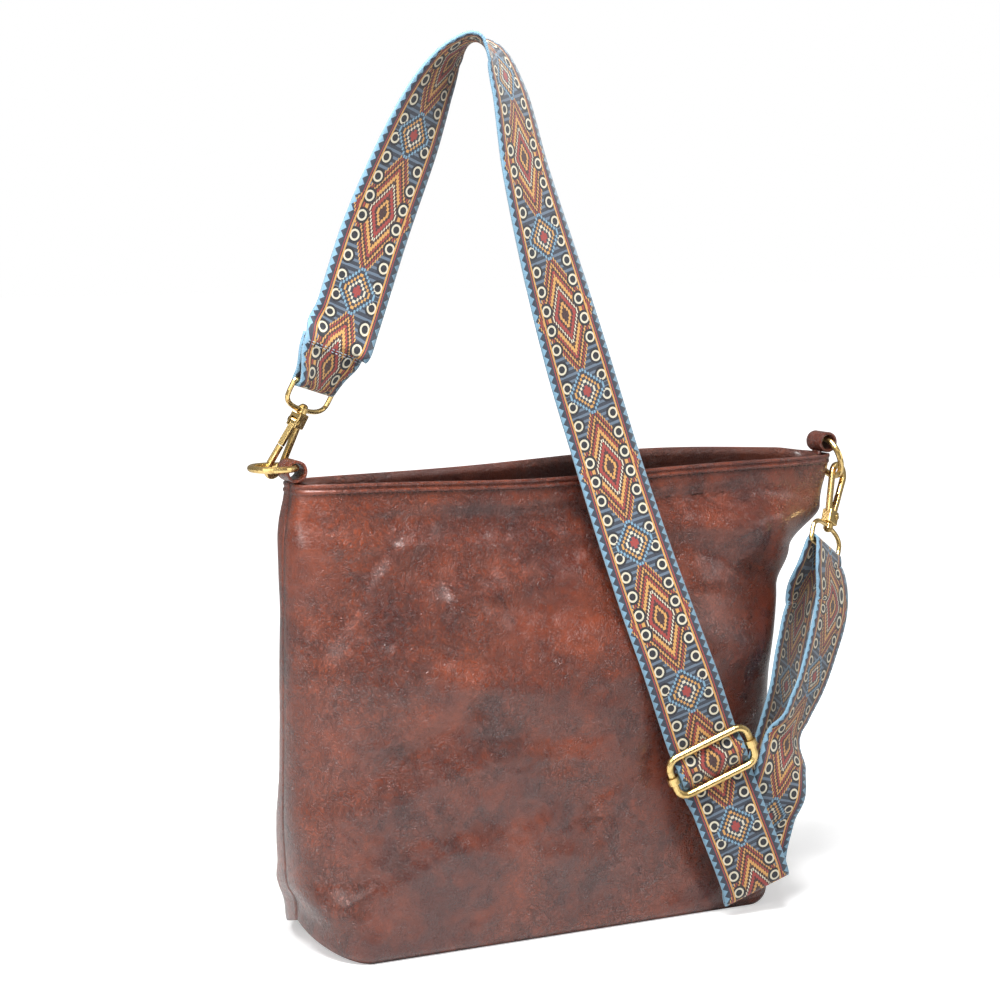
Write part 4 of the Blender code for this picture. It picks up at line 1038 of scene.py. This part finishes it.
def make_thread(name, colour):
    material, w, base = shader(name)
    place = w.node("ShaderNodeTexCoord").outputs["Object"]
    twist = w.noise(place, 2600.0, 2.0)
    w.join(w.mix(w.span(twist, 0.35, 0.65, 0.0, 0.5), colour, (0.01, 0.008, 0.008, 1)), base.inputs["Base Color"])
    base.inputs["Roughness"].default_value = 0.7
    return material


# Stitches by geometry nodes


def stitch_tree():
    tree = bpy.data.node_groups.new("stitch_row", "GeometryNodeTree")
    for kind, label, value in (
        ("NodeSocketGeometry", "Path", None),
        ("NodeSocketFloat", "Pitch", 0.0032),
        ("NodeSocketVector", "Stitch Size", (0.0012, 0.0003, 0.0003)),
        ("NodeSocketMaterial", "Thread", None),
    ):
        socket = tree.interface.new_socket(name=label, in_out="INPUT", socket_type=kind)
        if value is not None:
            socket.default_value = value
    tree.interface.new_socket(name="Stitches", in_out="OUTPUT", socket_type="NodeSocketGeometry")
    w = Wires(tree)
    given = w.node("NodeGroupInput")
    shown = w.node("NodeGroupOutput")
    curve = w.node("GeometryNodeMeshToCurve")
    spread = w.node("GeometryNodeResampleCurve", mode="LENGTH")
    ball = w.node("GeometryNodeMeshUVSphere")
    ball.inputs["Segments"].default_value = 8
    ball.inputs["Rings"].default_value = 5
    ball.inputs["Radius"].default_value = 1.0
    tangent = w.node("GeometryNodeInputTangent")
    turn = w.node("FunctionNodeAlignRotationToVector", axis="X")
    instances = w.node("GeometryNodeInstanceOnPoints")
    real = w.node("GeometryNodeRealizeInstances")
    finish = w.node("GeometryNodeSetMaterial")
    w.join(given.outputs["Path"], curve.inputs[0])
    w.join(curve.outputs[0], spread.inputs["Curve"])
    w.join(given.outputs["Pitch"], spread.inputs["Length"])
    w.join(tangent.outputs[0], turn.inputs["Vector"])
    w.join(spread.outputs[0], instances.inputs["Points"])
    w.join(ball.outputs["Mesh"], instances.inputs["Instance"])
    w.join(turn.outputs[0], instances.inputs["Rotation"])
    w.join(given.outputs["Stitch Size"], instances.inputs["Scale"])
    w.join(instances.outputs[0], real.inputs[0])
    w.join(real.outputs[0], finish.inputs["Geometry"])
    w.join(given.outputs["Thread"], finish.inputs["Material"])
    w.join(finish.outputs[0], shown.inputs[0])
    return tree


def stitch_rows(name, paths, pitch, size, material, body):
    """Stitches along the given paths, as one plain mesh that rides on a body."""
    points = []
    edges = []
    for path in paths:
        start = len(points)
        points += [tuple(point) for point in path]
        edges += [(start + k, start + k + 1) for k in range(len(path) - 1)]
    guide = bpy.data.meshes.new(name + "_path")
    guide.from_pydata(points, edges, [])
    thing = link(bpy.data.objects.new(name + "_path", guide))
    tree = bpy.data.node_groups.get("stitch_row") or stitch_tree()
    modifier = thing.modifiers.new("stitches", "NODES")
    modifier.node_group = tree
    values = {"Pitch": pitch, "Stitch Size": size, "Thread": material}
    for item in tree.interface.items_tree:
        if item.item_type == "SOCKET" and item.in_out == "INPUT" and item.name in values:
            modifier[item.identifier] = values[item.name]
    bpy.context.view_layer.update()
    seen = thing.evaluated_get(bpy.context.evaluated_depsgraph_get())
    mesh = bpy.data.meshes.new_from_object(seen)
    mesh.name = name
    bpy.data.objects.remove(thing, do_unlink=True)
    return piece(name, mesh, material, body)


# Settings


class LeatherSettings(PropertyGroup):
    deep: FloatVectorProperty(
        name="Deep brown",
        description="Colour of the leather's darker patches",
        subtype="COLOR",
        size=4,
        default=(0.066, 0.0125, 0.0075, 1.0),
    )
    warm: FloatVectorProperty(
        name="Warm brown",
        description="Colour of the leather's lighter patches",
        subtype="COLOR",
        size=4,
        default=(0.205, 0.0395, 0.0135, 1.0),
    )
    gloss: FloatProperty(
        name="Roughness", description="Middle roughness of the glossy face", min=0, max=1, default=0.28
    )
    wrinkle: FloatProperty(
        name="Wrinkles", description="Strength of the leather's creases", min=0, max=2, default=1.0
    )
    stitch_pitch: FloatProperty(
        name="Stitch pitch",
        description="Spacing of the hem's stitches",
        subtype="DISTANCE",
        unit="LENGTH",
        default=0.0034,
    )


class StrapSettings(PropertyGroup):
    columns: IntProperty(
        name="Columns", description="Divisions across the webbing", min=2, max=40, default=12
    )
    step: FloatProperty(
        name="Step",
        description="Spacing of the webbing's cross rows",
        subtype="DISTANCE",
        unit="LENGTH",
        default=0.0025,
    )
    repeat: FloatProperty(
        name="Repeat",
        description="Length of one repeat of the woven band",
        subtype="DISTANCE",
        unit="LENGTH",
        default=0.096,
    )
    ground: FloatVectorProperty(
        name="Ground", description="Dark colour of the band", subtype="COLOR", size=4,
        default=(0.030, 0.036, 0.050, 1.0),
    )


class FittingSettings(PropertyGroup):
    bright: FloatVectorProperty(
        name="Bright brass", description="Colour of the clean brass", subtype="COLOR", size=4,
        default=(0.74, 0.53, 0.22, 1.0),
    )
    dull: FloatVectorProperty(
        name="Dull brass", description="Colour of the tarnished brass", subtype="COLOR", size=4,
        default=(0.46, 0.31, 0.11, 1.0),
    )


class StageSettings(PropertyGroup):
    key: FloatProperty(
        name="Overhead light", description="Power of the large light above", unit="POWER", default=16.0
    )
    fill: FloatProperty(
        name="Front light", description="Power of the soft light in front", unit="POWER", default=6.5
    )
    room: FloatProperty(
        name="Room light", description="Strength of the light from all round", min=0, default=0.28
    )


def leather_shader():
    settings = bpy.context.scene.bag_leather
    group = bpy.data.node_groups.get("worn_leather") or leather_group()
    known = bpy.data.materials.get("glossy_leather")
    if known:
        return known
    return make_leather("glossy_leather", group, settings.deep, settings.warm, settings.gloss)


# Pieces


class TOTE_OT_body(Operator):
    """Makes the two leather panels with their hem, creases and boxed base"""

    bl_idname = "tote.body"
    bl_label = "Leather body"

    def execute(self, context):
        settings = context.scene.bag_leather
        finish = leather_shader()
        for name, node, front in (
            ("leather_front", "front_panel", True),
            ("leather_back", "back_panel", False),
        ):
            points, faces = weld(*panel_sheet(front))
            outer = worn_copy(points, faces, front, settings.wrinkle)
            inner = inward_copy(outer, faces, WALL, front)
            inner = [(x, y, max(z, WALL / 2)) for x, y, z in inner]
            made = piece(name, closed_mesh(name, outer, faces, inner), finish, "bag")
            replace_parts(made, node)
        return {"FINISHED"}


class TOTE_OT_facing(Operator):
    """Makes the leather band sewn inside the mouth"""

    bl_idname = "tote.facing"
    bl_label = "Mouth facing"

    def execute(self, context):
        group = bpy.data.node_groups.get("worn_leather") or leather_group()
        # The facing's leather is a darker copy of the body's leather; the darkness is painted shade for the
        # inside of the mouth.
        finish = make_leather("facing_leather", group, (0.050, 0.0125, 0.0085, 1), (0.125, 0.034, 0.018, 1), 0.45)
        inset = WALL + 0.0010
        pocket = TAB_INSET + TAB_WALL / 2 + 4 * GAP
        outer = loop_rows(FACING_LEVELS, pocket, inset)
        inner = loop_rows(FACING_LEVELS, pocket + FACING_WALL, inset + FACING_WALL)
        mesh = closed_mesh(
            "leather_facing",
            [point for row in outer for point in row],
            ring_faces(outer),
            [point for row in inner for point in row],
        )
        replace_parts(piece("leather_facing", mesh, finish, "bag"), "top_facing")
        return {"FINISHED"}


class TOTE_OT_tabs(Operator):
    """Makes the two leather tabs that hold the rings"""

    bl_idname = "tote.tabs"
    bl_label = "Ring tabs"

    def execute(self, context):
        finish = leather_shader()
        for hand in ("left", "right"):
            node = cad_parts["tab_" + hand]
            shape = bmesh.new()
            shape.from_mesh(node.data)
            bmesh.ops.remove_doubles(shape, verts=shape.verts[:], dist=1e-6)
            bmesh.ops.subdivide_edges(shape, edges=shape.edges[:], cuts=2, use_grid_fill=True)
            shape.normal_update()
            for vert in shape.verts:
                grain = noise.noise(vert.co * 420) * 0.00010 + noise.noise(vert.co * 180) * 0.00010
                vert.co += vert.normal * (grain - 0.00010)
            name = "leather_tab_" + hand
            mesh = bpy.data.meshes.new(name)
            shape.to_mesh(mesh)
            shape.free()
            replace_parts(piece(name, mesh, finish, "bag"), "tab_" + hand)
        return {"FINISHED"}


class TOTE_OT_seams(Operator):
    """Makes the hem's topstitching and the seam under the back rim"""

    bl_idname = "tote.seams"
    bl_label = "Hem stitches"

    def execute(self, context):
        settings = context.scene.bag_leather
        thread = make_thread("dark_thread", (0.030, 0.012, 0.009, 1))
        places = [float(v) for v in np.linspace(0.05, 0.95, 260)]
        paths = []
        for front in (True, False):
            row = wall_row(1 - HEM_STITCH / HEIGHT, front, places, 0.0, 0.0)
            side = -1 if front else 1
            paths.append([(x, y - side * 0.0004, z) for x, y, z in row])
        size = (settings.stitch_pitch * 0.38, 0.00034, 0.00034)
        stitch_rows("hem_stitches", paths, settings.stitch_pitch, size, thread, "bag")
        return {"FINISHED"}


class TOTE_OT_strap(Operator):
    """Makes the printed webbing strap along its whole way"""

    bl_idname = "tote.strap"
    bl_label = "Webbing strap"

    def execute(self, context):
        settings = context.scene.bag_strap
        material, w, base = shader("printed_webbing")
        made = place_group(w, print_group(), "UV", Repeat=settings.repeat, Ground=settings.ground)
        finish_shader(w, made, base, 0.00018, 0.6)
        base.inputs["Roughness"].default_value = 0.82
        base.inputs["Specular IOR Level"].default_value = 0.25
        base.inputs["Sheen Weight"].default_value = 0.25
        base.inputs["Sheen Roughness"].default_value = 0.5
        mesh = strap_mesh(settings.columns, settings.step)
        strap = piece("printed_strap", mesh, material, "bag")
        wall = strap.modifiers.new("thickness", "SOLIDIFY")
        wall.thickness = STRAP_THICK
        wall.offset = 0
        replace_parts(strap, "strap")
        return {"FINISHED"}


class TOTE_OT_strap_stitches(Operator):
    """Makes the two pale stitch rows across the strap's sewn end at the left loop"""

    bl_idname = "tote.strap_stitches"
    bl_label = "Strap stitches"

    def execute(self, context):
        thread = make_thread("pale_thread", (0.42, 0.50, 0.58, 1))
        end = END_FRAMES["left"]
        bar = np.array(end["bar"])
        pull = np.array(end["pull"])
        paths = []
        for share in (0.84, 0.90):
            width = heading(78)
            off = layer_side(78, pull) * (STRAP_THICK * 1.5 + 2 * GAP + 0.0004)
            middle = bar + pull * share * SEWN_TAIL + off
            across = unit(width - pull * np.dot(width, pull))
            paths.append([middle + across * side * 0.0205 for side in (-1, -0.5, 0, 0.5, 1)])
        stitch_rows("strap_end_stitches", paths, 0.0030, (0.0011, 0.0003, 0.0003), thread, "bag")
        return {"FINISHED"}


class TOTE_OT_fittings(Operator):
    """Gives the rings, hooks, gates, loops and slider their brass"""

    bl_idname = "tote.fittings"
    bl_label = "Brass fittings"

    def execute(self, context):
        settings = context.scene.bag_fittings
        group = brass_group()
        brass = make_brass("brushed_brass", group, settings.bright, settings.dull)
        pin = make_brass("pin_brass", group, settings.dull, settings.dull)
        names = ["slider_frame", "slider_bar"]
        for hand in ("_left", "_right"):
            names += [stem + hand for stem in ("ring", "hook", "gate", "strap_loop")]
        for name in names:
            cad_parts[name].data.materials.clear()
            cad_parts[name].data.materials.append(brass)
        for hand in ("_left", "_right"):
            for stem in ("gate_rivet", "swivel_post"):
                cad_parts[stem + hand].data.materials.clear()
                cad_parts[stem + hand].data.materials.append(pin)
        return {"FINISHED"}


class TOTE_OT_stage(Operator):
    """Makes the floor, the lights and the camera"""

    bl_idname = "tote.stage"
    bl_label = "Stage"

    def execute(self, context):
        settings = context.scene.bag_stage
        scene = context.scene
        scene.view_settings.view_transform = "Standard"
        mesh = bpy.data.meshes.new("floor")
        mesh.from_pydata([(-9, -9, 0), (9, -9, 0), (9, 9, 0), (-9, 9, 0)], [], [(0, 1, 2, 3)])
        floor = link(bpy.data.objects.new("floor", mesh))
        material, w, base = shader("pale_floor")
        base.inputs["Base Color"].default_value = (0.80, 0.80, 0.80, 1)
        base.inputs["Roughness"].default_value = 0.9
        base.inputs["Specular IOR Level"].default_value = 0.0
        rays = w.node("ShaderNodeLightPath")
        spot = w.node("ShaderNodeVectorMath", operation="LENGTH")
        w.join(w.node("ShaderNodeTexCoord").outputs["Object"], spot.inputs[0])
        glow = w.span(spot.outputs["Value"], 0.3, 1.8, FLOOR_GLOW, 1.0)
        w.join(w.math("MULTIPLY", rays.outputs["Is Camera Ray"], glow), base.inputs["Emission Strength"])
        base.inputs["Emission Color"].default_value = (1, 1, 1, 1)
        mesh.materials.append(material)
        world = bpy.data.worlds.new("pale_room")
        scene.world = world
        world.use_nodes = True
        w = Wires(world.node_tree)
        back = world.node_tree.nodes["Background"]
        back.inputs[0].default_value = (1, 1, 1, 1)
        rays = w.node("ShaderNodeLightPath")
        seen = w.math("MAXIMUM", rays.outputs["Is Camera Ray"], rays.outputs["Is Transmission Ray"])
        glossy = w.math("MULTIPLY", rays.outputs["Is Glossy Ray"], 0.22)
        seen = w.math("MAXIMUM", seen, glossy)
        w.join(w.math("MAXIMUM", seen, settings.room), back.inputs[1])
        for name, place, aim, size, power, tint in (
            ("overhead", (-0.22, -0.42, 1.10), (0, 0, 0.15), 0.42, settings.key, (1, 1, 1)),
            ("front", (-1.15, -0.95, 0.75), (0, 0, 0.18), 0.6, settings.fill, (1, 0.99, 0.98)),
            ("side", (1.3, -0.75, 0.70), (0, 0, 0.18), 0.7, settings.fill * 0.5, (1, 1, 1)),
            ("gloss", (-0.60, -0.15, 0.95), (0, -0.05, 0.12), 0.35, settings.fill * 0.9, (1, 1, 1)),
        ):
            lamp = bpy.data.lights.new(name, "AREA")
            lamp.size = size
            lamp.energy = power
            lamp.color = tint
            thing = link(bpy.data.objects.new(name, lamp))
            thing.location = place
            thing.rotation_euler = (Vector(place) - Vector(aim)).to_track_quat("Z", "Y").to_euler()
        lens = bpy.data.cameras.new("camera")
        lens.lens = CAMERA_LENS
        lens.sensor_width = 36
        lens.clip_start = 0.05
        camera = link(bpy.data.objects.new("camera", lens))
        camera.location = CAMERA_PLACE
        camera.rotation_euler = (math.pi / 2 - CAMERA_DIP, 0, -CAMERA_TURN)
        scene.camera = camera
        return {"FINISHED"}


class TOTE_PT_pieces(Panel):
    """Sizes, colours and the pieces of the tote bag"""

    bl_idname = "TOTE_PT_pieces"
    bl_label = "Tote Bag"
    bl_space_type = "VIEW_3D"
    bl_region_type = "UI"
    bl_category = "Tote Bag"

    def draw(self, context):
        for group in ("bag_leather", "bag_strap", "bag_fittings", "bag_stage"):
            settings = getattr(context.scene, group)
            box = self.layout.box()
            for key in settings.bl_rna.properties.keys():
                if key not in ("rna_type", "name"):
                    box.prop(settings, key)
        for operator in OPERATORS:
            self.layout.operator(operator.bl_idname)


SETTINGS = (
    ("bag_leather", LeatherSettings),
    ("bag_strap", StrapSettings),
    ("bag_fittings", FittingSettings),
    ("bag_stage", StageSettings),
)
OPERATORS = (
    TOTE_OT_stage,
    TOTE_OT_body,
    TOTE_OT_facing,
    TOTE_OT_tabs,
    TOTE_OT_seams,
    TOTE_OT_strap,
    TOTE_OT_strap_stitches,
    TOTE_OT_fittings,
)


def register():
    for name, settings in SETTINGS:
        bpy.utils.register_class(settings)
        setattr(bpy.types.Scene, name, PointerProperty(type=settings))
    for made in OPERATORS + (TOTE_PT_pieces,):
        bpy.utils.register_class(made)


def unregister():
    for made in reversed(OPERATORS + (TOTE_PT_pieces,)):
        bpy.utils.unregister_class(made)
    for name, settings in reversed(SETTINGS):
        delattr(bpy.types.Scene, name)
        bpy.utils.unregister_class(settings)


def main():
    register()
    bpy.ops.tote.stage()
    bpy.ops.tote.body()
    bpy.ops.tote.facing()
    bpy.ops.tote.tabs()
    bpy.ops.tote.seams()
    bpy.ops.tote.strap()
    bpy.ops.tote.strap_stitches()
    bpy.ops.tote.fittings()
    bpy.context.view_layer.update()


if __name__ == "__main__":
    main()
